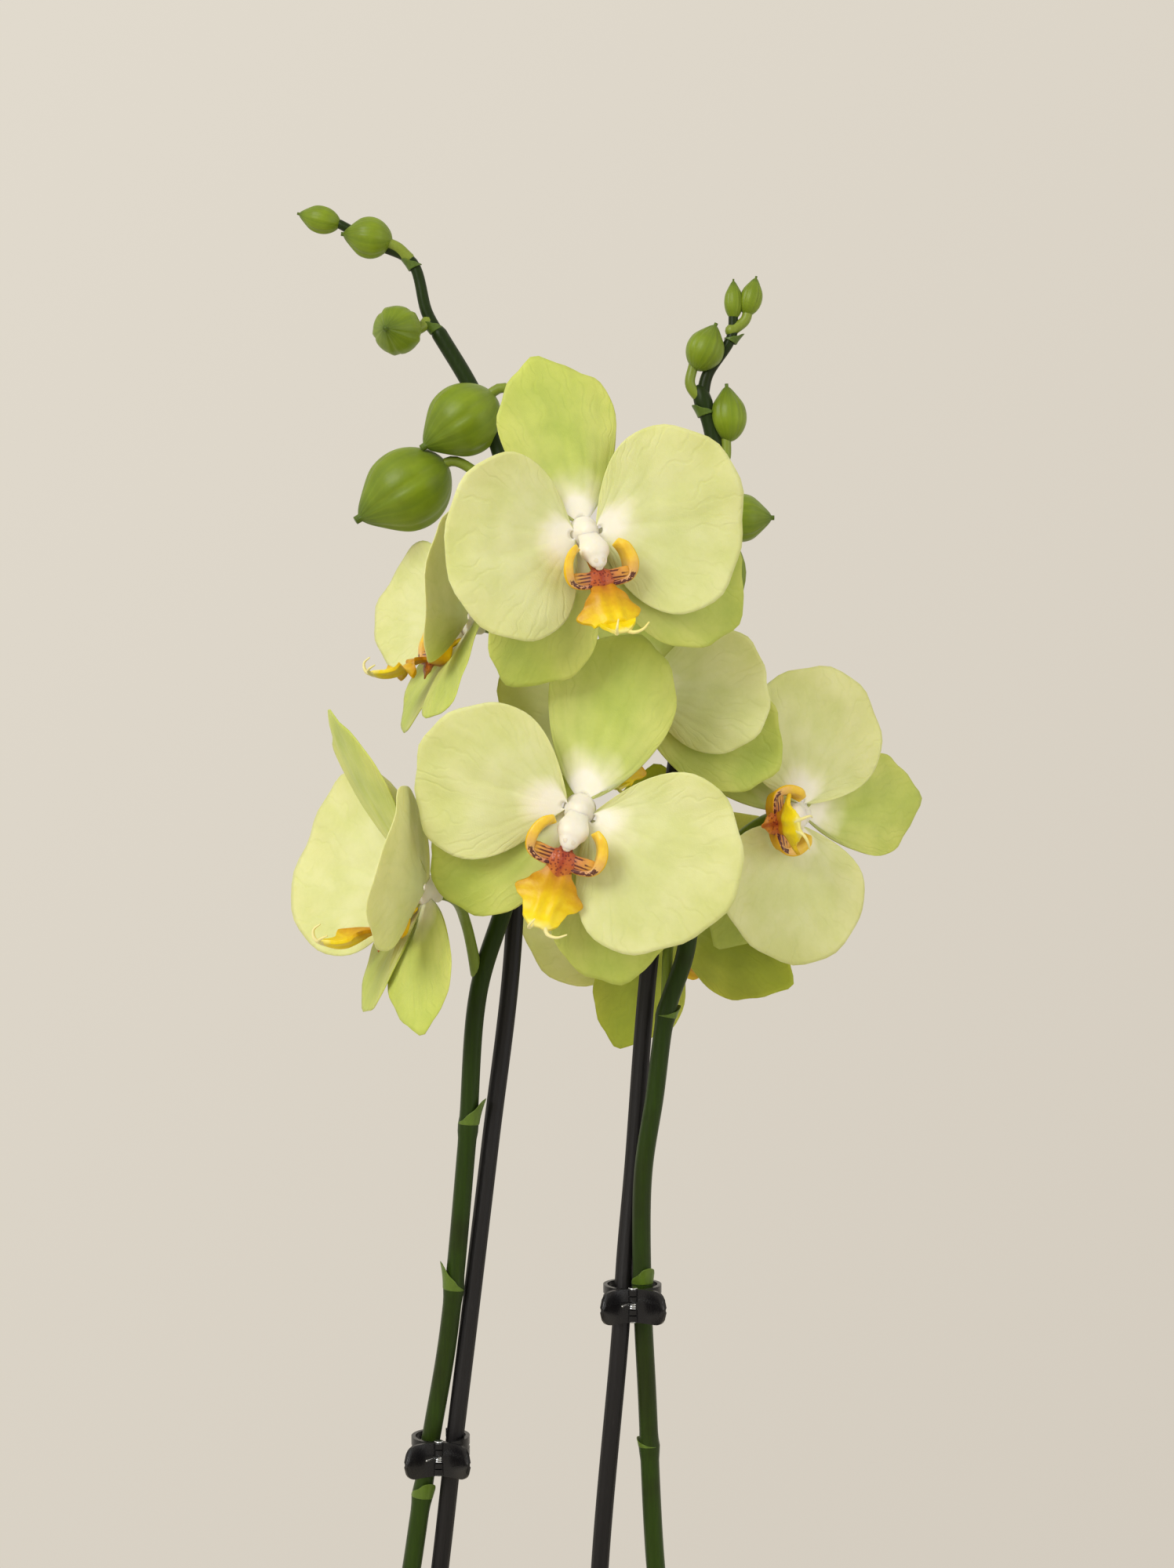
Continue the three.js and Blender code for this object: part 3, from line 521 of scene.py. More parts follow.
def make_piece(name, skin, looks, replaces=(), body="plant", placed=None, levels=0, bevel=0):
    """One object from a skin, in metres in the row frame, riding on a body."""
    placed = placed or Matrix()
    mesh = bpy.data.meshes.new(name)
    mesh.from_pydata([(placed @ point) * MM for point in skin.points], [], skin.faces)
    mesh.uv_layers.new(name="surface").data.foreach_set("uv", [c for corner in skin.corners for c in corner])
    place = mesh.attributes.new("place", "FLOAT_VECTOR", "POINT")
    place.data.foreach_set("vector", [c for point in skin.points for c in point])
    for look in looks:
        mesh.materials.append(LOOKS[look])
    mesh.polygons.foreach_set("material_index", skin.kinds)
    mesh.polygons.foreach_set("use_smooth", [True] * len(skin.faces))
    work = bmesh.new()
    work.from_mesh(mesh)
    bmesh.ops.recalc_face_normals(work, faces=work.faces)
    work.to_mesh(mesh)
    work.free()
    piece = bpy.data.objects.new(name, mesh)
    bpy.context.collection.objects.link(piece)
    if bevel:
        rounding = piece.modifiers.new("rounding", "BEVEL")
        rounding.width = bevel * MM
        rounding.segments = BEVEL_SEGMENTS
        rounding.limit_method = "ANGLE"
        rounding.angle_limit = math.radians(BEVEL_ANGLE)
        rounding.harden_normals = True
    if levels:
        smoothing = piece.modifiers.new("smoothing", "SUBSURF")
        smoothing.levels = levels
        smoothing.render_levels = levels
    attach(piece, body)
    if replaces:
        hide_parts(*replaces)
    return piece


def blend_between(low, high, weight):
    return low + (high - low) * weight


def smooth_step(start, end, value):
    t = min(1, max(0, (value - start) / (end - start)))
    return t * t * (3 - 2 * t)


def profile(keys, t):
    """A smooth value at t between (t, value) keys."""
    for (t0, value0), (t1, value1) in zip(keys, keys[1:]):
        if t <= t1:
            return blend_between(value0, value1, smooth_step(t0, t1, t))
    return keys[-1][1]


def hump(offset, width):
    """1 in the middle of a rounded hump, and nearly 0 from twice its width outwards."""
    return math.exp(-(offset / width) ** 2)


def eased(v):
    """-1 to 1 as v goes from 0 to 1, closer together towards both ends."""
    return math.sin((2 * v - 1) * math.pi / 2)


def smooth_line(points, steps):
    """Evenly spaced points along the centripetal Catmull-Rom curve through the given ones."""
    points = [Vector(p) for p in points]
    points = [2 * points[0] - points[1], *points, 2 * points[-1] - points[-2]]
    dense = [points[1]]
    for p0, p1, p2, p3 in zip(points, points[1:], points[2:], points[3:]):
        d0, d1, d2 = [max(1e-4, (b - a).length ** 0.5) for a, b in ((p0, p1), (p1, p2), (p2, p3))]
        m1 = ((p1 - p0) / d0 - (p2 - p0) / (d0 + d1) + (p2 - p1) / d1) * d1
        m2 = ((p2 - p1) / d1 - (p3 - p1) / (d1 + d2) + (p3 - p2) / d2) * d1
        for k in range(1, CURVE_STEPS + 1):
            t = k / CURVE_STEPS
            dense.append((2 * t**3 - 3 * t**2 + 1) * p1 + (t**3 - 2 * t**2 + t) * m1
                         + (3 * t**2 - 2 * t**3) * p2 + (t**3 - t**2) * m2)
    reached = [0]
    for a, b in zip(dense, dense[1:]):
        reached.append(reached[-1] + (b - a).length)
    line, k = [], 0
    for step in range(steps + 1):
        goal = reached[-1] * step / steps
        while k < len(dense) - 2 and reached[k + 1] < goal:
            k += 1
        share = (goal - reached[k]) / max(1e-9, reached[k + 1] - reached[k])
        line.append(dense[k].lerp(dense[k + 1], share))
    return line


def tangent_at(line, i):
    return (line[min(i + 1, len(line) - 1)] - line[max(i - 1, 0)]).normalized()


def frames_along(line, start_side=None):
    """(point, tangent, side, up) along a line, turning as little as it can."""
    side = Vector(start_side) if start_side else (line[1] - line[0]).orthogonal()
    frames = []
    for i, point in enumerate(line):
        tangent = tangent_at(line, i)
        side = (side - tangent * side.dot(tangent)).normalized()
        frames.append((point, tangent, side, tangent.cross(side)))
    return frames


CAP_ANGLES = (84, 58, 30)


def add_tube(skin, line, radius_at, sides=14, flat=1.0, start_side=None, round_ends=True):
    """A round or oval rod along a line. radius_at(t, angle) is in mm; flat narrows it upwards."""
    frames = frames_along(line, start_side)

    def ring(frame_here, t, shrink=1.0, shift=0.0):
        point, tangent, side, up = frame_here
        points = []
        for k in range(sides):
            angle = 2 * math.pi * k / sides
            radius = radius_at(t, angle) * shrink
            points.append(point + tangent * shift + side * radius * math.cos(angle)
                          + up * radius * flat * math.sin(angle))
        return points

    def cap(frame_here, t, way):
        reach = radius_at(t, 0) * way
        tilts = [math.radians(a) for a in CAP_ANGLES]
        return [ring(frame_here, t, math.cos(a), reach * math.sin(a)) for a in tilts]

    rings = [ring(f, i / (len(frames) - 1)) for i, f in enumerate(frames)]
    if round_ends:
        rings = cap(frames[0], 0, -1) + rings + cap(frames[-1], 1, 1)[::-1]
    skin.loft(rings)


def add_revolved(skin, outline, sides):
    """A solid of revolution about z from (radius, height) pairs."""
    angles = [2 * math.pi * k / sides for k in range(sides)]
    turns = [(math.cos(a), math.sin(a)) for a in angles]
    skin.loft([[Vector((radius * x, radius * y, height)) for x, y in turns] for radius, height in outline])


# ---------------------------------------------------------------- flowers
TEPAL_THICKNESS = 0.6
TEPAL_KINDS = {
    "dorsal": dict(length=44, spread=44, lobe=0.42, power=2.0, round=6, flare=1.5, cup=-0.1, bend=-0.1,
                   base_out=2, base_up=0, ripple=0.35, crease=0.3, point=0.05),
    "petal": dict(length=44, spread=80, lobe=0.46, power=2.2, round=8, flare=0.8, cup=0.06, bend=-0.06,
                  base_out=3, base_up=1.6, ripple=0.9, crease=0.3, point=0),
    "lateral": dict(length=44, spread=44, lobe=0.45, power=1.8, round=6, flare=1.5, cup=0.1, bend=-0.1,
                    base_out=2, base_up=0, ripple=0.4, crease=0.4, point=0.06),
}
# Where each tepal points, in degrees from the flower's right-hand side, seen from the front.
TEPALS = {
    "dorsal": ("dorsal", 90, 1),
    "petal_right": ("petal", 6, 1),
    "petal_left": ("petal", 174, -1),
    "lateral_right": ("lateral", -54, 1),
    "lateral_left": ("lateral", -126, -1),
}
# As in the CAD: yaw turns a flower right, pitch nods it down and roll tips it clockwise, in degrees.
# A tepal's own entries turn it, lift it forward, twist it, and scale its length and width.
FLOWERS = {
    "flower_left_1": dict(
        centre=(-30, -12, 420), yaw=-70, pitch=-15, roll=0, size=1, lip_lift=55,
        petal_right=dict(lift=41, length=0.92, turn=2, width=0.85),
        petal_left=dict(lift=38, width=0.85, length=1.1),
        dorsal=dict(lift=55, length=1.2, width=0.9),
        lateral_right=dict(lift=2, turn=-10, length=0.85, twist=-20),
        lateral_left=dict(lift=15, length=0.85, turn=10)),
    "flower_left_2": dict(
        centre=(13, -30, 443), yaw=0, pitch=5, roll=20, size=1.02, lip_lift=5,
        petal_right=dict(lift=10, turn=-20, width=0.9),
        petal_left=dict(lift=9, turn=8, width=0.75, length=0.97, twist=8),
        dorsal=dict(lift=-5, turn=3, length=1.05),
        lateral_right=dict(length=1.05),
        lateral_left=dict(length=0.95, turn=-5)),
    "flower_left_3": dict(
        centre=(-18, -4, 496), yaw=-75, pitch=-15, roll=0, size=0.95, lip_lift=50,
        petal_right=dict(lift=35, turn=10, width=0.8),
        petal_left=dict(lift=34, width=0.7, length=0.95),
        dorsal=dict(lift=10, length=0.9),
        lateral_right=dict(lift=18, turn=16, twist=-12, length=0.95),
        lateral_left=dict(lift=20, length=0.9)),
    "flower_left_4": dict(
        centre=(14, -42, 518), yaw=20, pitch=5, roll=-10, size=0.95, lip_lift=30,
        petal_right=dict(lift=15, turn=-5, width=0.95),
        petal_left=dict(lift=15, turn=10, length=0.95),
        dorsal=dict(turn=4, length=1.05),
        lateral_right=dict(turn=20, length=1.15, lift=8),
        lateral_left=dict(turn=5)),
    "flower_right_1": dict(
        centre=(39, 40, 411), yaw=180, pitch=0, roll=5, size=0.92, lip_lift=40,
        petal_right=dict(lift=5, turn=5, width=0.9, length=1.05),
        petal_left=dict(lift=5, turn=-10, width=0.85),
        lateral_right=dict(turn=-12, length=0.95),
        lateral_left=dict(turn=-20, length=0.95)),
    "flower_right_2": dict(
        centre=(77, 21, 441), yaw=30, pitch=0, roll=80, size=0.93, lip_lift=65,
        petal_right=dict(lift=10, turn=-28),
        petal_left=dict(lift=10, turn=-10, width=0.95),
        dorsal=dict(length=1.15, width=0.85, turn=-5),
        lateral_right=dict(turn=20, lift=-10),
        lateral_left=dict(turn=-25, lift=-20)),
    "flower_right_3": dict(
        centre=(27, 2, 476), yaw=0, pitch=0, roll=10, size=0.92, lip_lift=20,
        petal_right=dict(lift=12, turn=5, width=0.7, length=0.93),
        petal_left=dict(lift=5, turn=20, length=0.85),
        lateral_right=dict(turn=40, length=1.1, lift=5),
        lateral_left=dict(lift=5, length=0.9)),
}
FAN_EDGE = 0.96  # how far the outermost rows of points reach towards a tepal's side edges
FAN_START = 0.05  # where a tepal's blade begins, as a share of its length
POINT_WIDTH = 0.16
CREASE_WIDTH = 0.05
RIM_THINNING = 0.55
RECEPTACLE_BACK = -1.5
TEPAL_COLUMNS, TEPAL_ROWS = 30, 44


def turned(axis, degrees):
    return Matrix.Rotation(math.radians(degrees), 4, axis)


def flower_place(plan):
    turn = turned("Z", plan["yaw"]) @ turned("X", plan["pitch"] + 90) @ turned("Z", -plan["roll"])
    return Matrix.Translation(plan["centre"]) @ turn @ Matrix.Scale(plan["size"], 4)


def add_tepal(skin, part, changes, phase):
    """One sepal or petal: a fan of points from its foot, cupped, bent, rippled and creased."""
    kind, direction, side = TEPALS[part]
    shape = TEPAL_KINDS[kind]
    reach = shape["length"] * changes.get("length", 1)
    spread = math.radians(shape["spread"]) * changes.get("width", 1)
    placed = turned("Z", direction + changes.get("turn", 0))
    placed = placed @ Matrix.Translation((shape["base_out"], 0, shape["base_up"]))
    placed = placed @ turned("Y", -changes.get("lift", 0)) @ turned("X", changes.get("twist", 0) * side)

    def point_at(u, v, face):
        across = math.sin((2 * v - 1) * FAN_EDGE * math.pi / 2)
        along = FAN_START + (1 - FAN_START) * u
        rim = reach * (1 - shape["lobe"] * abs(across) ** shape["power"])
        rim *= math.sqrt(1 - abs(across) ** shape["round"])
        rim *= 1 + 0.02 * math.sin(8 * across + phase) * u**3 + 0.008 * math.sin(23 * across + phase) * u**6
        rim *= 1 + shape["point"] * hump(across, POINT_WIDTH) * u**3
        angle = across * spread * (shape["flare"] + (1 - shape["flare"]) * along)
        a = along * rim * math.cos(angle)
        b = along * rim * math.sin(angle)
        height = 2 * shape["cup"] * b * b / reach + 1.5 * shape["bend"] * a * a / reach
        edge = u**3
        height += shape["ripple"] * edge * math.sin(7 * across + phase)
        height += 0.4 * shape["ripple"] * edge * u * math.sin(17 * across + 2 * phase)
        height -= shape["crease"] * hump(across, CREASE_WIDTH) * math.sin(math.pi * min(1, u * 1.1)) ** 2
        thin = TEPAL_THICKNESS * (1 - RIM_THINNING * u**6)
        return placed @ Vector((a, b, height + face * thin / 2))

    skin.shell(point_at, TEPAL_COLUMNS, TEPAL_ROWS, (0, 1))


def add_sepals_heart(skin):
    """The small knob that the sepals and petals grow from."""
    line = [Vector((0, 0, z)) for z in (-2.4, -1.6, -0.7, 0.2, 1.1, 2.0, 2.6)]
    add_tube(skin, line, lambda t, angle: 2.3 + 2.2 * math.sin(math.pi * (0.1 + 0.78 * t)), sides=24)


SIDE_LOBE_HALF = [(5.4, -3.6, 0), (7.9, -5.8, 0), (9.3, -9.6, 0), (8.6, -13.4, 0), (4.8, -14.9, 0)]
SIDE_LOBE_LINE = [(-x, y, z) for x, y, z in SIDE_LOBE_HALF] + [(0, -14.6, 0)] + SIDE_LOBE_HALF[::-1]


def add_side_lobes(skin):
    """One curved band: two upright arms joined by a low web under the column."""
    columns = 40
    line = smooth_line(SIDE_LOBE_LINE, columns)

    def point_at(u, v, face):
        i = round(u * columns)
        tangent = tangent_at(line, i)
        inward = Vector((-tangent.y, tangent.x, 0))
        arm = abs(2 * u - 1)
        reach = profile([(0, 2.4), (0.3, 3.0), (0.62, 3.5), (0.86, 2.7), (1, 0.8)], arm)
        middle = profile([(0, 7.4), (0.4, 8.0), (0.7, 8.6), (1, 9.6)], arm)
        thick = profile([(0, 0.9), (0.3, 1.4), (0.6, 2.9), (0.85, 2.5), (1, 1.1)], arm)
        depth = middle + reach * (2 * v - 1)
        lean = inward * (1.1 * (2 * v - 1) * arm)
        swell = 0.4 + 0.6 * smooth_step(0.1, 0.85, v)
        return line[i] + inward * (face * thick * swell / 2) - lean + Vector((0, 0, depth))

    skin.shell(point_at, columns, 8, (1, 0))


MIDLOBE_FOOT = (0, -13, 8.6)
RIDGE_OFFSET = 2.1
MIDLOBE_LINE = [(0, -11.4, 7.4), (0, -14.4, 8.8), (0, -18.5, 9.3), (0, -23.5, 8.8), (0, -28.5, 9.4),
                (0, -32.4, 11.8)]
MIDLOBE_WIDTHS = [(0, 2.6), (0.14, 3.2), (0.26, 3.8), (0.4, 6.6), (0.52, 9.8), (0.6, 8.6), (0.7, 6.2),
                  (0.84, 5.2), (0.95, 3.4), (1, 1.6)]


def lip_reach(point, lift):
    """A point of the lip's blade, brought forward about its foot by lift degrees."""
    foot = Vector(MIDLOBE_FOOT)
    offset = Vector(point) - foot
    return foot + turned("X", -lift * smooth_step(-0.5, 3, -offset.y)) @ offset


def add_midlobe(skin, lift):
    """The anchor-shaped blade, with two soft ridges and its shoulders turned down a little."""
    columns = 36
    line = smooth_line([lip_reach(p, lift) for p in MIDLOBE_LINE], columns)

    def point_at(u, v, face):
        i = round(u * columns)
        tangent = tangent_at(line, i)
        normal = Vector((1, 0, 0)).cross(tangent)
        normal = normal if normal.z > normal.y else -normal
        across = eased(v)
        half = profile(MIDLOBE_WIDTHS, u)
        droop = profile([(0, 0.0), (0.3, 0.6), (0.52, 2.8), (0.7, 1.4), (1, 0.6)], u)
        ridges = hump(abs(across * half) - RIDGE_OFFSET, 1.0) * profile([(0.2, 0.2), (0.6, 1.2), (1, 0.3)], u)
        swept = 1.4 * across * across * profile([(0.3, 0.0), (0.52, 1.0), (0.75, 0.2)], u)
        height = ridges - droop * across * across + face * 0.55
        return line[i] + Vector((across * half, 0, 0)) + normal * height + tangent * swept

    skin.shell(point_at, columns, 20)


def add_cirrhi(skin, lift):
    """The two thin tails at the tip of the midlobe."""
    tails = [
        [(1.5, -31.4, 11.0), (2.8, -33.2, 12.4), (5.4, -33.2, 13.4), (7.6, -31.6, 13.8)],
        [(-1.5, -31.4, 11.0), (-2.2, -33.0, 12.8), (-2.6, -32.4, 15.4), (-1.8, -30.4, 16.2)],
    ]
    for points in tails:
        line = smooth_line([lip_reach(p, lift) for p in points], 14)
        add_tube(skin, line, lambda t, angle: 0.75 - 0.5 * t, sides=8)


def add_callus(skin):
    """A low warty saddle between the arms that runs down onto the blade."""
    line = smooth_line([(0, -10.4, 7.6), (0, -12.8, 9.0), (0, -16.2, 9.3), (0, -19.5, 9.4)], 26)

    def radius_at(t, angle):
        width = profile([(0, 1.8), (0.2, 4.0), (0.45, 4.3), (0.75, 3.0), (1, 0.8)], t)
        warts = 1 + 0.05 * math.sin(9 * angle + 17 * t) + 0.04 * math.sin(14 * angle - 30 * t)
        return width * warts

    add_tube(skin, line, radius_at, sides=26, start_side=(1, 0, 0), flat=0.4)


def add_arm_feet(skin):
    """Dashed flesh between the callus and the foot of each arm."""
    for side in (-1, 1):
        line = smooth_line([(side * 1.5, -13.6, 8.6), (side * 4.6, -13.2, 9.4), (side * 7.6, -12.6, 9.8)], 14)
        add_tube(skin, line, lambda t, angle: 2.5 - 0.5 * t, sides=20, start_side=(0, 1, 0), flat=0.42)


def add_claw(skin):
    line = smooth_line([(0, -6.6, 2.6), (0, -9.2, 5.0), (0, -11.6, 7.4)], 8)
    add_tube(skin, line, lambda t, angle: 1.7, start_side=(1, 0, 0), flat=0.5)


def add_column(skin):
    """The column: a neck that swells into a rounded head, hollowed underneath."""
    line = smooth_line([(0, 1.0, 0.4), (0, -1.2, 3.4), (0, -4.2, 6.4), (0, -7.8, 8.6)], 24)

    def radius_at(t, angle):
        width = 2.7 + 1.45 * hump(t - 0.75, 0.26) - 0.7 * smooth_step(0.88, 1.05, t)
        ridge = 0.07 * math.cos(2 * angle)
        return width * (1 + ridge)

    add_tube(skin, line, radius_at, sides=24, start_side=(1, 0, 0), flat=0.8)


def add_anther(skin):
    """The cap at the column's tip, parted along its middle."""
    line = smooth_line([(0, -7.2, 8.6), (0, -8.4, 9.3), (0, -9.6, 9.4)], 10)

    def radius_at(t, angle):
        part = 1 - 0.16 * hump(angle - math.pi / 2, 0.22)
        return (0.7 + 1.7 * math.sin(math.pi * (0.28 + 0.62 * t)) ** 0.7) * part

    add_tube(skin, line, radius_at, sides=20, start_side=(1, 0, 0), flat=0.7)


def make_flower(name, plan):
    place = flower_place(plan)
    phases = {part: rng.uniform(0, 6) for part in TEPALS}
    for part in ("dorsal", "lateral_right", "lateral_left"):
        skin = Skin()
        add_tepal(skin, part, plan.get(part, {}), phases[part])
        make_piece(f"{name}_{part}", skin, ["sepal", "sepal_back"], [f"{name}_sepals"], placed=place)
    heart = Skin()
    add_sepals_heart(heart)
    make_piece(f"{name}_heart", heart, ["column"], [f"{name}_sepals"], placed=place)
    for part in ("petal_left", "petal_right"):
        skin = Skin()
        add_tepal(skin, part, plan.get(part, {}), phases[part])
        make_piece(f"{name}_{part}_blade", skin, ["petal", "petal_back"], [f"{name}_{part}"],
                   placed=place)
    lift = plan["lip_lift"]
    lip_parts = {
        "side_lobes": (add_side_lobes, ["side_lobe", "side_lobe_inside"]),
        "arm_feet": (add_arm_feet, ["arm_foot"]),
        "midlobe": (lambda skin: add_midlobe(skin, lift), ["midlobe"]),
        "cirrhi": (lambda skin: add_cirrhi(skin, lift), ["cirrhus"]),
        "callus": (add_callus, ["callus"]),
        "claw": (add_claw, ["side_lobe"]),
    }
    for part, (add_part, looks) in lip_parts.items():
        skin = Skin()
        add_part(skin)
        make_piece(f"{name}_{part}", skin, looks, [f"{name}_lip"], placed=place, levels=1)
    for part, add_part, look in (("gynostemium", add_column, "column"), ("anther", add_anther, "anther")):
        skin = Skin()
        add_part(skin)
        make_piece(f"{name}_{part}", skin, [look], [f"{name}_column"], placed=place, levels=1)


for flower_name, flower_plan in FLOWERS.items():
    make_flower(flower_name, flower_plan)


# ---------------------------------------------------------------- spikes
STEM_RADIUS = 2.75
UPPER_STEM_RADIUS = 2.4
SPIKE_TIP_RADIUS = 1.7
PEDICEL_RADIUS = 1.5
JOINT_SWELLING = 0.42
JOINT_LENGTH = 2.2

# Stalks run from the flower to the stem, and bud stalks from the stem to the bud. A node is the
# height of a joint in the stem, the way its bract points in degrees, and the bract's length.
SPIKES = {
    "spike_left": dict(
        stem=[(-12.8, 3, 106), (-24, 6, 116), (-38, 9, 140), (-42, 10, 180), (-35.4, 10, 226), (-31, 10, 256),
              (-25.3, 10, 290), (-20, 10, 345), (-16.5, 10, 390), (-7.5, 10, 420), (-3, 10, 450)],
        upper=[(-3.2, 10, 448), (-1, 10, 490), (-5, 10, 525), (-11.6, 10, 550), (-19, 10, 566),
               (-28, 10, 581)],
        tip=[(-27, 10, 579), (-31.5, 10, 587), (-36, 10, 602), (-46, 10, 607), (-57, 10, 613)],
        stalks={
            "flower_left_1": [(-20, 4, 410), (-17, 10, 395)],
            "flower_left_2": [(4, -6, 438), (-3, 8, 430)],
            "flower_left_3": [(-4, 4, 488), (-2, 10, 478)],
            "flower_left_4": [(6, -20, 514), (-3, 8, 504)],
        },
        bud_stalks=[
            [(-7, 10, 532), (-15, 10, 539), (-24, 10, 544), (-30, 10, 541)],
            [(-9, 10, 543), (-5, 9, 556), (-9, 8, 565), (-15, 8, 562)],
            [(-31, 10, 585), (-34, 8, 582), (-38, 6, 582)],
            [(-37, 10, 603), (-40, 9, 606), (-45, 9, 608)],
        ],
        buds=[
            ((-39, 10, 535), (-0.83, -0.2, -0.55), 32, 24),
            ((-22.3, 8, 555), (-0.8, -0.2, -0.6), 27, 21),
            ((-40, 4, 581), (-0.3, -0.9, -0.1), 17, 14),
            ((-49, 9, 609), (-1, -0.1, 0.1), 15, 12),
            ((-63, 10, 614.5), (-1, 0, 0.25), 13, 8),
        ],
        nodes=[(160, 200, 9), (243, -60, 5), (303, 190, 8), (350, -10, 8)]),
    "spike_right": dict(
        stem=[(12.8, 3, 106), (24, 6, 116), (36, 9, 140), (39, 10, 180), (34.7, 10, 226), (32.5, 10, 272),
              (31.2, 10, 300), (31.3, 10, 336), (34.7, 10, 359), (38.2, 10, 384), (43.9, 10, 402),
              (47, 10, 445)],
        upper=[(46.9, 10, 443), (49, 10, 492), (52, 10, 548), (48, 10, 564)],
        tip=[(48.5, 10, 562), (50, 10, 569), (57, 10, 580), (57.6, 10, 588)],
        stalks={
            "flower_right_1": [(39.5, 24, 408), (38.5, 14, 398), (38.3, 10, 385)],
            "flower_right_2": [(66, 31, 438), (56, 28, 430), (48, 17, 420), (45, 10, 412)],
            "flower_right_3": [(34, 10, 472), (47, 10, 464)],
        },
        bud_stalks=[
            [(49, 10, 489), (56, 11, 499), (60, 12, 512), (56, 11, 524), (57, 10, 527)],
            [(51.5, 10, 541), (55, 10, 544), (55.5, 10, 551)],
            [(49, 10, 561), (45, 9, 566), (46, 9, 572)],
            [(57, 10, 582), (61, 10, 585), (62, 10, 589)],
        ],
        buds=[
            ((61, 10, 527.5), (1, 0, 0), 17, 14),
            ((56, 10, 558), (-0.05, 0, 1), 17, 10.5),
            ((49.5, 8.5, 577), (0.4, 0, 0.9), 15, 11),
            ((62.8, 10, 592), (0.25, 0, 0.97), 12, 6.5),
            ((57.6, 10, 591), (0, 0, 1), 12, 5.5),
        ],
        nodes=[(165, -20, 9), (212, 170, 6), (257, 160, 2.5), (304, -60, 5), (383, 20, 4)]),
}


def behind(plan, distance):
    """The point that far behind a flower's receptacle."""
    back = Matrix.Scale(1 / plan["size"], 4) @ Vector((0, 0, -distance))
    return flower_place(plan) @ (Vector((0, 0, RECEPTACLE_BACK)) + back)


def crossing(line, height):
    """The frame of an upright line at a height."""
    frames = frames_along(line)
    return min(frames, key=lambda f: abs(f[0].z - height))


def add_bract(skin, line, height, azimuth, length, radius):
    """A small scale leaf that clasps the stem at a joint and ends in a free point."""
    foot, tangent, _, _ = crossing(line, height)
    out = Vector((math.cos(math.radians(azimuth)), math.sin(math.radians(azimuth)), 0))
    out = (out - tangent * out.dot(tangent)).normalized()
    side = tangent.cross(out)

    def point_at(u, v, face):
        span = profile([(0, 2.9), (0.25, 1.7), (0.7, 0.75), (0.9, 0.5), (1, 0.1)], u)
        angle = (2 * v - 1) * span
        reach = radius + 0.3 + 0.28 * face * (1 - 0.7 * u) + 0.22 * length * u**1.6
        return (foot + tangent * (length * u) + out * reach * math.cos(angle)
                + side * reach * math.sin(angle))

    skin.shell(point_at, 10, 16)


def stem_radius_at(line, radius, node_heights):
    """The stem's radius along its line, swollen a little at every joint."""

    def radius_at(t, angle):
        height = line[min(len(line) - 1, round(t * (len(line) - 1)))].z
        swell = sum(JOINT_SWELLING * hump(height - node, JOINT_LENGTH) for node in node_heights)
        ribs = 0.03 * math.sin(5 * angle)
        return radius * (1.02 - 0.05 * t) + swell + ribs

    return radius_at


BUD_FULLNESS = 0.62
BUD_NUB = 0.1
BUD_KEELS = 5
KEEL_PLACE, KEEL_WIDTH = 0.5, 0.09  # each as a share of the way from one keel to the next
GROOVE_PLACE, GROOVE_WIDTH = 0.66, 0.08


def add_bud(skin, middle, direction, length, width):
    """A plump closed bud: raised keels run from its foot to the small nub at its tip."""
    way = Vector(direction).normalized()
    steps = 40
    line = [Vector(middle) + way * length * (k / steps - 0.5) for k in range(steps + 1)]

    def radius_at(t, angle):
        phase = (angle * BUD_KEELS / (2 * math.pi)) % 1
        fading = math.sin(math.pi * min(1, max(0, t)))
        keel = hump(phase - KEEL_PLACE, KEEL_WIDTH) * fading
        groove = hump(phase - GROOVE_PLACE, GROOVE_WIDTH) * fading
        uneven = 0.025 * math.cos(angle + 1)
        inside = min(0.999, max(0.001, t / 0.96))
        swell = math.sin(math.pi * inside**0.88) ** BUD_FULLNESS
        nub = BUD_NUB * smooth_step(0.6, 0.96, t)
        return width / 2 * (max(swell * (1 - 0.18 * smooth_step(0.6, 0.9, t)), nub) * (1 + uneven)
                            + 0.04 * keel - 0.045 * groove)

    add_tube(skin, line, radius_at, sides=60, round_ends=False)


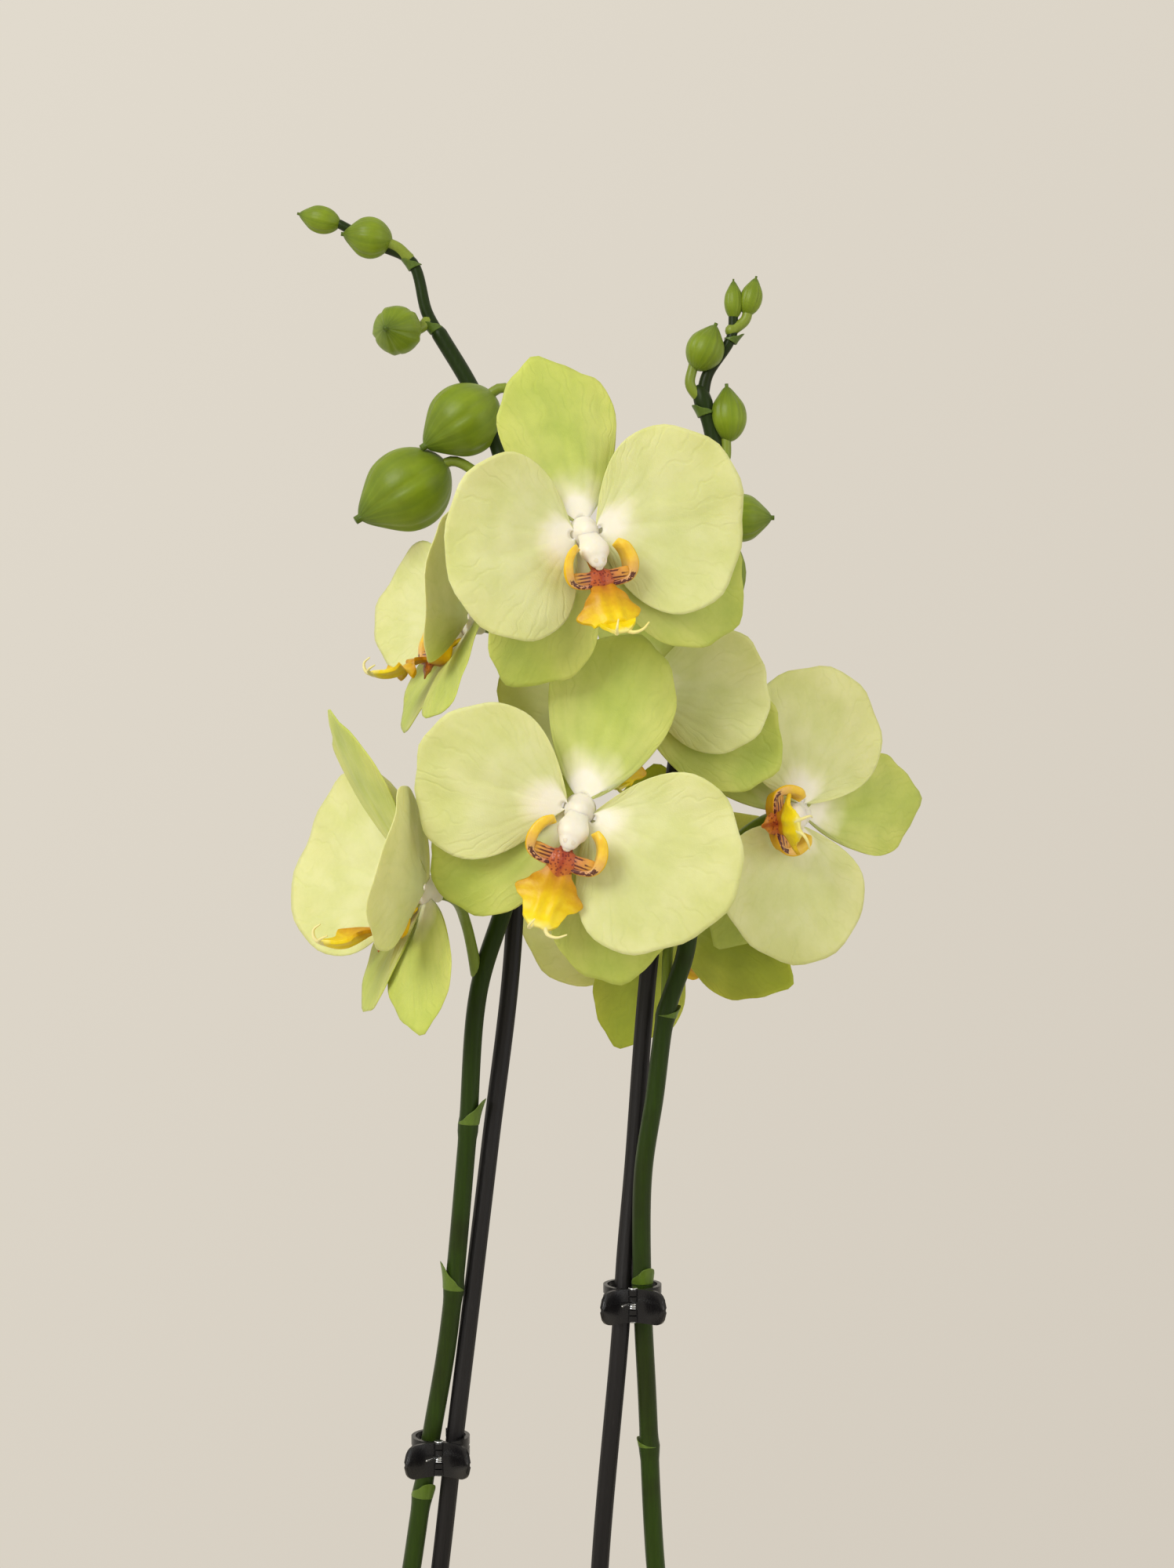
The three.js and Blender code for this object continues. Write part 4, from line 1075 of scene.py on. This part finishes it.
def make_spike(name, plan):
    stem_line = smooth_line(plan["stem"], 170)
    heights = [node[0] for node in plan["nodes"]]
    stem = Skin()
    add_tube(stem, stem_line, stem_radius_at(stem_line, STEM_RADIUS, heights), sides=20)
    upper_line = smooth_line(plan["upper"], 70)
    joints = [points[0][2] for points in plan["bud_stalks"]]
    add_tube(stem, upper_line, stem_radius_at(upper_line, UPPER_STEM_RADIUS, joints), sides=18)
    tip_line = smooth_line(plan["tip"], 30)
    add_tube(stem, tip_line, lambda t, angle: SPIKE_TIP_RADIUS * (1.1 - 0.3 * t))
    make_piece(f"{name}_stem", stem, ["stem"], [name])

    stalks = Skin()
    for flower, points in plan["stalks"].items():
        flower_plan = FLOWERS[flower]
        line = smooth_line([behind(flower_plan, -0.5), behind(flower_plan, 6), *points], 26)
        add_tube(stalks, line, lambda t, angle: PEDICEL_RADIUS + 0.5 * (1 - t) ** 3 + 0.5 * t**6)
    for points in plan["bud_stalks"]:
        line = smooth_line(points, 18)
        add_tube(stalks, line, lambda t, angle: PEDICEL_RADIUS * (1 + 0.25 * (1 - t) ** 4))
    make_piece(f"{name}_stalks", stalks, ["stalk"], [name])

    bracts = Skin()
    for height, azimuth, length in plan["nodes"]:
        add_bract(bracts, stem_line, height, azimuth, length, STEM_RADIUS)
    for points in plan["bud_stalks"]:
        way = Vector(points[1]) - Vector(points[0])
        line = upper_line if points[0][2] < upper_line[-1].z else tip_line
        radius = UPPER_STEM_RADIUS if line is upper_line else SPIKE_TIP_RADIUS
        add_bract(bracts, line, points[0][2] - 3, math.degrees(math.atan2(way.y, way.x)), 4, radius)
    make_piece(f"{name}_bracts", bracts, ["bract"], [name], levels=1)

    for number, bud in enumerate(plan["buds"], 1):
        skin = Skin()
        add_bud(skin, *bud)
        make_piece(f"{name}_bud_{number}", skin, ["bud"], [name])


for spike_name, spike_plan in SPIKES.items():
    make_spike(spike_name, spike_plan)


# ---------------------------------------------------------------- stakes
STAKE_RADIUS = 2.65
STAKE_RIBS = 12
STAKES = {
    "stake_left": [(-38, 23, 72), (-40, 23, 98), (-38, 20, 140), (-33, 15, 180), (-27.3, 11, 226),
                   (-23.9, 10, 256), (-19.8, 12, 290), (-13.3, 15, 345), (-6.9, 17, 400), (-4.1, 17, 479),
                   (-3.8, 17, 490)],
    "stake_right": [(14, 22, 72), (15, 22, 98), (16, 19, 165), (19.1, 13, 226), (24.7, 10.5, 290),
                    (26.2, 13.5, 312), (28.4, 16, 336), (33.6, 17, 400), (46.6, 17, 493)],
}


def make_stake(name, points):
    skin = Skin()
    line = smooth_line(points, 120)
    add_tube(skin, line, lambda t, a: STAKE_RADIUS * (0.985 + 0.012 * math.cos(STAKE_RIBS * a)), sides=48)
    make_piece(f"{name}_rod", skin, ["stake"], [name])


for stake_name, stake_points in STAKES.items():
    make_stake(stake_name, stake_points)


# ---------------------------------------------------------------- pot, bark, roots and crown
POT_HEIGHT = 115
POT_FOOT_RADIUS = 44
POT_TOP_RADIUS = 58
POT_WALL = 2.4
POT_FLOOR = 4
RIM_HEIGHT = 12
RIM_PROJECTION = 2
MEDIUM_TOP = 98
MEDIUM_CROWNING = 3
MEDIUM_FOOT = 6
CHIP_COUNT = 260
CHIP_LIFT = 1.2
CHIP_MARGIN = 4
GOLDEN_ANGLE = 137.5
CROWN_RADIUS = 11
CROWN_TOP = 130
CROWN_FOOT = 93
CROWN_STEPS = 13
CROWN_STEP_FOOT, CROWN_STEP_HEIGHT = 96, 2.4
AXIS_RADIUS = 0.05  # outlines stop this short of the axis


def pot_radius_at(height):
    return POT_FOOT_RADIUS + (POT_TOP_RADIUS - POT_FOOT_RADIUS) * height / POT_HEIGHT


def make_pot():
    rim_bottom = POT_HEIGHT - RIM_HEIGHT
    rim_radius = POT_TOP_RADIUS + RIM_PROJECTION
    outline = [
        (AXIS_RADIUS, 1.2), (30, 1.2), (34, 0), (pot_radius_at(0) - 1, 0), (pot_radius_at(1), 1.2),
        (pot_radius_at(30), 30), (pot_radius_at(60), 60), (pot_radius_at(90), 90),
        (pot_radius_at(rim_bottom), rim_bottom), (rim_radius - 0.5, rim_bottom + 1),
        (rim_radius, rim_bottom + 2.5), (rim_radius, POT_HEIGHT - 2), (rim_radius - 0.8, POT_HEIGHT - 0.4),
        (rim_radius - 2, POT_HEIGHT), (pot_radius_at(POT_HEIGHT) - POT_WALL + 0.8, POT_HEIGHT - 0.4),
        (pot_radius_at(POT_HEIGHT) - POT_WALL, POT_HEIGHT - 2),
        (pot_radius_at(50) - POT_WALL, 50), (pot_radius_at(8) - POT_WALL, 8),
        (pot_radius_at(POT_FLOOR) - POT_WALL - 4, POT_FLOOR), (AXIS_RADIUS, POT_FLOOR),
    ]
    skin = Skin()
    add_revolved(skin, outline, 128)
    make_piece("pot_shell", skin, ["pot"], ["pot"], bevel=0.5)


def medium_height(radius):
    """How high the bark stands at a distance from the pot's axis."""
    share = radius / (pot_radius_at(MEDIUM_TOP) - POT_WALL)
    return MEDIUM_TOP - MEDIUM_CROWNING * share * share


def make_medium():
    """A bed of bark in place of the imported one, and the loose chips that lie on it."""
    inner = pot_radius_at(MEDIUM_TOP) - POT_WALL - 0.5
    foot_radius = pot_radius_at(MEDIUM_FOOT) - POT_WALL - 2
    edge_height = MEDIUM_TOP - MEDIUM_CROWNING
    outline = [(AXIS_RADIUS, MEDIUM_FOOT), (foot_radius, MEDIUM_FOOT), (inner, edge_height)]
    for share in (0.9, 0.75, 0.6, 0.45, 0.3, 0.15):
        outline.append((inner * share, medium_height(inner * share)))
    outline.append((AXIS_RADIUS, medium_height(0)))
    bed = Skin()
    add_revolved(bed, outline, 64)
    make_piece("bark_bed", bed, ["bark"], ["growing_medium"])
    chips = Skin()
    for k in range(CHIP_COUNT):
        radius = inner * math.sqrt((k + 0.5) / CHIP_COUNT) - CHIP_MARGIN
        if radius < CROWN_RADIUS:
            continue
        angle = k * math.radians(GOLDEN_ANGLE)
        height = medium_height(radius) + CHIP_LIFT
        add_chip(chips, Vector((radius * math.cos(angle), radius * math.sin(angle), height)))
    make_piece("bark_chips", chips, ["bark"], ["growing_medium"], bevel=0.3)


def add_chip(skin, middle):
    """A broken block of bark: a six-sided slab with uneven corners, lying nearly flat."""
    length, width, height = rng.uniform(6, 11), rng.uniform(4, 7), rng.uniform(2.5, 4.5)
    turn = turned("Z", rng.uniform(0, 360))
    turn = turn @ turned("X", rng.uniform(-22, 22)) @ turned("Y", rng.uniform(-22, 22))
    jitter = [(rng.uniform(0.75, 1.1), rng.uniform(-0.4, 0.4)) for _ in range(6)]
    rings = []
    for level, shrink in ((-0.5, 0.75), (-0.2, 1), (0.25, 0.95), (0.5, 0.6)):
        ring = []
        for k, (grow, shift) in enumerate(jitter):
            angle = math.pi * k / 3
            x = length / 2 * math.cos(angle) * grow * shrink
            y = width / 2 * math.sin(angle) * grow * shrink
            z = height * level + shift * level
            ring.append(middle + turn @ Vector((x, y, z)))
        rings.append(ring)
    skin.loft(rings)


# Each aerial root: points from the crown out over the bark.
ROOTS = [
    [(-9, -6, 112), (-17, -12, 110), (-27, -22, 104), (-36, -24, 101.5), (-44, -16, 101), (-47, -4, 100)],
    [(8, -9, 111), (14, -18, 109), (16, -30, 103), (10, -40, 101), (-2, -46, 100.5), (-14, -45, 99.5)],
    [(9, 8, 112), (20, 14, 109), (34, 16, 103), (44, 8, 101), (48, -6, 100)],
    [(-6, 10, 110), (-12, 22, 107), (-12, 36, 102), (-4, 45, 100), (10, 46, 99.5)],
]


def make_roots():
    skin = Skin()
    for points in ROOTS:
        line = smooth_line(points, 44)
        wave = rng.uniform(0, 6)
        add_tube(skin, line, lambda t, angle: 1.9 + 0.14 * math.sin(31 * t + wave) - 0.5 * t**6, sides=16)
    make_piece("aerial_roots", skin, ["root"], ["crown"])


def make_crown():
    skin = Skin()
    outline = [(AXIS_RADIUS, CROWN_FOOT), (8, CROWN_FOOT)]
    for k in range(CROWN_STEPS):
        height = CROWN_STEP_FOOT + CROWN_STEP_HEIGHT * k
        step = 0.5 if k % 3 == 0 else 0
        outline.append((CROWN_RADIUS * (0.95 - 0.018 * k) - step, height))
    outline += [(5, CROWN_TOP - 2), (AXIS_RADIUS, CROWN_TOP - 1)]
    add_revolved(skin, outline, 40)
    make_piece("crown_base", skin, ["crown"], ["crown"])


make_pot()
make_medium()
make_roots()
make_crown()


# ---------------------------------------------------------------- leaves
LEAVES = {
    "leaf_1": dict(azimuth=-72, foot=108, reach=150, width=52, rise=22, droop=34),
    "leaf_2": dict(azimuth=114, foot=111, reach=145, width=54, rise=24, droop=36),
    "leaf_3": dict(azimuth=-96, foot=114, reach=125, width=54, rise=36, droop=22),
    "leaf_4": dict(azimuth=108, foot=117, reach=120, width=52, rise=38, droop=24),
    "leaf_5": dict(azimuth=-80, foot=120, reach=80, width=46, rise=50, droop=8),
    "leaf_6": dict(azimuth=100, foot=123, reach=55, width=36, rise=48, droop=0),
}
LEAF_THICKNESS = 2
LEAF_CLEARANCE = 1.8
LEAF_CHANNEL = 0.3
SHEATH_SHARE = 0.16
SHEATH_FOOT = 99
BLADE_END = 0.985
CLASP_ANGLE = 2.0
CLASP_GAP = 0.4
CLASP_STEP = 0.28  # each leaf wraps the crown this far inside the one below it


def bezier(p0, p1, p2, p3, t):
    s = 1 - t
    return s**3 * p0 + 3 * s * s * t * p1 + 3 * s * t * t * p2 + t**3 * p3


def make_leaf(name, order, plan):
    """A strap leaf whose foot wraps the crown and whose blade arches out and droops."""
    start, foot, reach = CROWN_RADIUS + LEAF_CLEARANCE, plan["foot"], plan["reach"]
    arch = [Vector(p) for p in (
        (start, foot), (start + 0.25 * reach, foot + 1.1 * plan["rise"]),
        (start + 0.6 * reach, foot + 1.3 * plan["rise"]),
        (start + 0.92 * reach, foot + plan["rise"] - plan["droop"]))]
    wrap_radius = CROWN_RADIUS + CLASP_GAP + CLASP_STEP * (len(LEAVES) - order)

    def point_at(u, v, face):
        along = max(0, (u - SHEATH_SHARE) / (1 - SHEATH_SHARE)) * BLADE_END
        middle = bezier(*arch, along)
        tangent = (bezier(*arch, min(1, along + 0.01)) - bezier(*arch, max(0, along - 0.01))).normalized()
        half = plan["width"] / 2 * (0.38 + 0.62 * math.sin(math.pi * along**0.85) ** 0.7)
        half *= math.sqrt(1 - along**7)
        across = eased(v)
        sideways = across * half
        groove = LEAF_CHANNEL * (math.sqrt(sideways * sideways + 4) - 2)
        keel = -0.5 * hump(sideways, 1.4) * smooth_step(0.02, 0.2, along)
        wave = 0.7 * math.sin(5.5 * along * math.pi + 2 * order) * across * across
        wave *= smooth_step(0.1, 0.5, along)
        thick = LEAF_THICKNESS / 2 * (0.35 + 0.65 * math.sqrt(max(0, 1 - abs(across) ** 3)))
        lift = groove + keel + wave + face * thick
        blade = Vector((middle.x - lift * tangent.y, sideways, middle.y + lift * tangent.x))
        down = max(0, 1 - u / SHEATH_SHARE)
        angle = CLASP_ANGLE * across
        around = wrap_radius - face * 0.6
        height = blend_between(middle.y, SHEATH_FOOT, down) + 1.2 * abs(across)
        clasp = Vector((around * math.cos(angle), around * math.sin(angle), height))
        return turned("Z", plan["azimuth"]) @ clasp.lerp(blade, smooth_step(0.0, 0.2, along))

    skin = Skin()
    skin.shell(point_at, 64, 24, (0, 1))
    make_piece(f"{name}_blade", skin, ["leaf", "leaf_back"], [name], levels=1)


for leaf_order, (leaf_name, leaf_plan) in enumerate(LEAVES.items(), 1):
    make_leaf(leaf_name, leaf_order, leaf_plan)


# ---------------------------------------------------------------- claw clips
# In a clip's frame the hinge pin stands on the origin and the stem and stake are behind it, at
# (0, CLAW_RADIUS). side is 1 for the right-hand jaw, which swings, and -1 for the fixed one.
CLIPS = {
    "clip_left": (-27.6, 2.1, 256),
    "clip_right": (28.2, 2.4, 300),
}
CLIP_HALF_HEIGHT = 4.5
CLAW_RADIUS = 7.9
CLAW_THICKNESS = 1.2
CLAW_ROOT = 6
CLAW_START = 24
HUB_RADIUS = 2.2
PIN_RADIUS = 0.7
PIN_HEAD_RADIUS = 1.3
PIN_HALF_LENGTH = 5.0
LEVER_START = 1.6
LEVER_LENGTH = 12
LEVER_ANGLE = 50
FINGER_START = 74
JAW_SWEEP = 172
FINGERS = [(-4.5, -2.1), (-1.1, 1.1), (2.1, 4.5)]
FIXED_LUGS = [(2.9, 4.5), (-4.5, -2.9)]
SWINGING_LUGS = [(1.2, 2.6), (-2.6, -1.2)]
SPRING_COIL_RADIUS = 1.45
SPRING_WIRE_RADIUS = 0.28
SPRING_TURNS = 3
SPRING_PITCH = 0.62
SPRING_LEG_OFFSET = 12
SPRING_LEG_REACHES = (7, 3.5)


def add_arc(skin, start, end, low, high, side, columns):
    """Part of a jaw's claw between two sweeps in degrees and two heights."""

    def point_at(u, v, face):
        sweep = blend_between(start, end, u)
        thick = CLAW_THICKNESS * (1 - 0.35 * smooth_step(150, JAW_SWEEP, sweep))
        radius = CLAW_RADIUS + face * thick / 2
        angle = math.radians(sweep - 90)
        x, y = side * radius * math.cos(angle), CLAW_RADIUS + radius * math.sin(angle)
        return (x, y, blend_between(low, high, v))

    skin.shell(point_at, columns, 4)


def add_paddle(skin, side):
    """A jaw's thumb lever: a rounded paddle, dished a little where it is pressed."""
    way = Vector((math.sin(math.radians(LEVER_ANGLE)), -math.cos(math.radians(LEVER_ANGLE)), 0))
    way.x *= side
    out = Vector((way.y, -way.x, 0)) * -side

    def point_at(u, v, face):
        reach = blend_between(LEVER_START, LEVER_LENGTH, u)
        rounded = math.sqrt(max(0.02, 1 - max(0, (u - 0.45) / 0.55) ** 3.2))
        across = eased(v)
        dish = 0.5 * (1 - across * across) * smooth_step(0.2, 0.7, u)
        thick = 0.62 * (1 - 0.25 * across * across)
        bow = 0.8 * math.sin(math.pi * u)
        return (way * reach + out * (bow - dish + face * thick)
                + Vector((0, 0, across * CLIP_HALF_HEIGHT * 1.08 * rounded)))

    skin.shell(point_at, 14, 12)
    for reach in (7.0, 8.6, 10.2):
        rib = [way * reach + out * 1.0 + Vector((0, 0, z)) for z in (-2.4, 0, 2.4)]
        add_tube(skin, smooth_line(rib, 8), lambda t, angle: 0.3, sides=8)


def add_upright(skin, low, high, radius):
    line = [Vector((0, 0, blend_between(low, high, k / 4))) for k in range(5)]
    add_tube(skin, line, lambda t, angle: radius, sides=24, round_ends=False)


def make_jaw(name, side, lugs, body, place, pinned):
    skin = Skin()
    add_arc(skin, CLAW_START, FINGER_START, -CLIP_HALF_HEIGHT, CLIP_HALF_HEIGHT, side, 12)
    for low, high in FINGERS:
        add_arc(skin, FINGER_START - 1, JAW_SWEEP, low, high, side, 22)
    for low, high in lugs:
        add_upright(skin, low, high, HUB_RADIUS)
        add_arc(skin, CLAW_ROOT, CLAW_START + 2, low, high, side, 5)
    add_paddle(skin, side)
    if pinned:
        add_upright(skin, -CLIP_HALF_HEIGHT, CLIP_HALF_HEIGHT, PIN_RADIUS)
    cad_name = f"{name}_swinging_jaw" if pinned else f"{name}_fixed_jaw"
    make_piece(f"{cad_name}_moulding", skin, ["clip"], [cad_name], body, place, bevel=0.22)


def make_spring(name, place):
    """A torsion spring round the pin, with one leg along the fixed jaw's lever."""
    half = SPRING_TURNS * SPRING_PITCH / 2
    leg_angle = math.radians(270 - LEVER_ANGLE + SPRING_LEG_OFFSET)
    steps = SPRING_TURNS * 14
    coil = []
    for i in range(steps + 1):
        angle = leg_angle + math.pi / 2 + 2 * math.pi * SPRING_TURNS * i / steps
        height = half - 2 * half * i / steps
        coil.append((SPRING_COIL_RADIUS * math.cos(angle), SPRING_COIL_RADIUS * math.sin(angle), height))
    leg = []
    for reach in SPRING_LEG_REACHES:
        leg.append((coil[0][0] + reach * math.cos(leg_angle), coil[0][1] + reach * math.sin(leg_angle), half))
    skin = Skin()
    add_tube(skin, smooth_line([*leg, *coil], 260), lambda t, angle: SPRING_WIRE_RADIUS, sides=10)
    make_piece(f"{name}_spring_coil", skin, ["steel"], [f"{name}_spring"], placed=place)


def make_pin_heads(name, body, place):
    skin = Skin()
    for low, high in ((CLIP_HALF_HEIGHT, PIN_HALF_LENGTH), (-PIN_HALF_LENGTH, -CLIP_HALF_HEIGHT)):
        add_upright(skin, low, high, PIN_HEAD_RADIUS)
    make_piece(f"{name}_pin_heads", skin, ["steel"], placed=place, body=body, bevel=0.2)


for clip_name, clip_place in CLIPS.items():
    at_clip = Matrix.Translation(clip_place)
    make_jaw(clip_name, -1, FIXED_LUGS, "plant", at_clip, pinned=False)
    make_jaw(clip_name, 1, SWINGING_LUGS, f"{clip_name}_jaw", at_clip, pinned=True)
    make_spring(clip_name, at_clip)
    make_pin_heads(clip_name, f"{clip_name}_jaw", at_clip)


# ---------------------------------------------------------------- floor
def make_floor():
    mesh = bpy.data.meshes.new("floor")
    angles = [math.radians(a) for a in range(0, 360, 3)]
    ring = [(math.cos(a) * FLOOR_RADIUS, math.sin(a) * FLOOR_RADIUS, FLOOR_LEVEL) for a in angles]
    mesh.from_pydata(ring, [], [list(range(len(ring)))])
    mesh.materials.append(LOOKS["floor"])
    floor = bpy.data.objects.new("floor", mesh)
    bpy.context.collection.objects.link(floor)


make_floor()
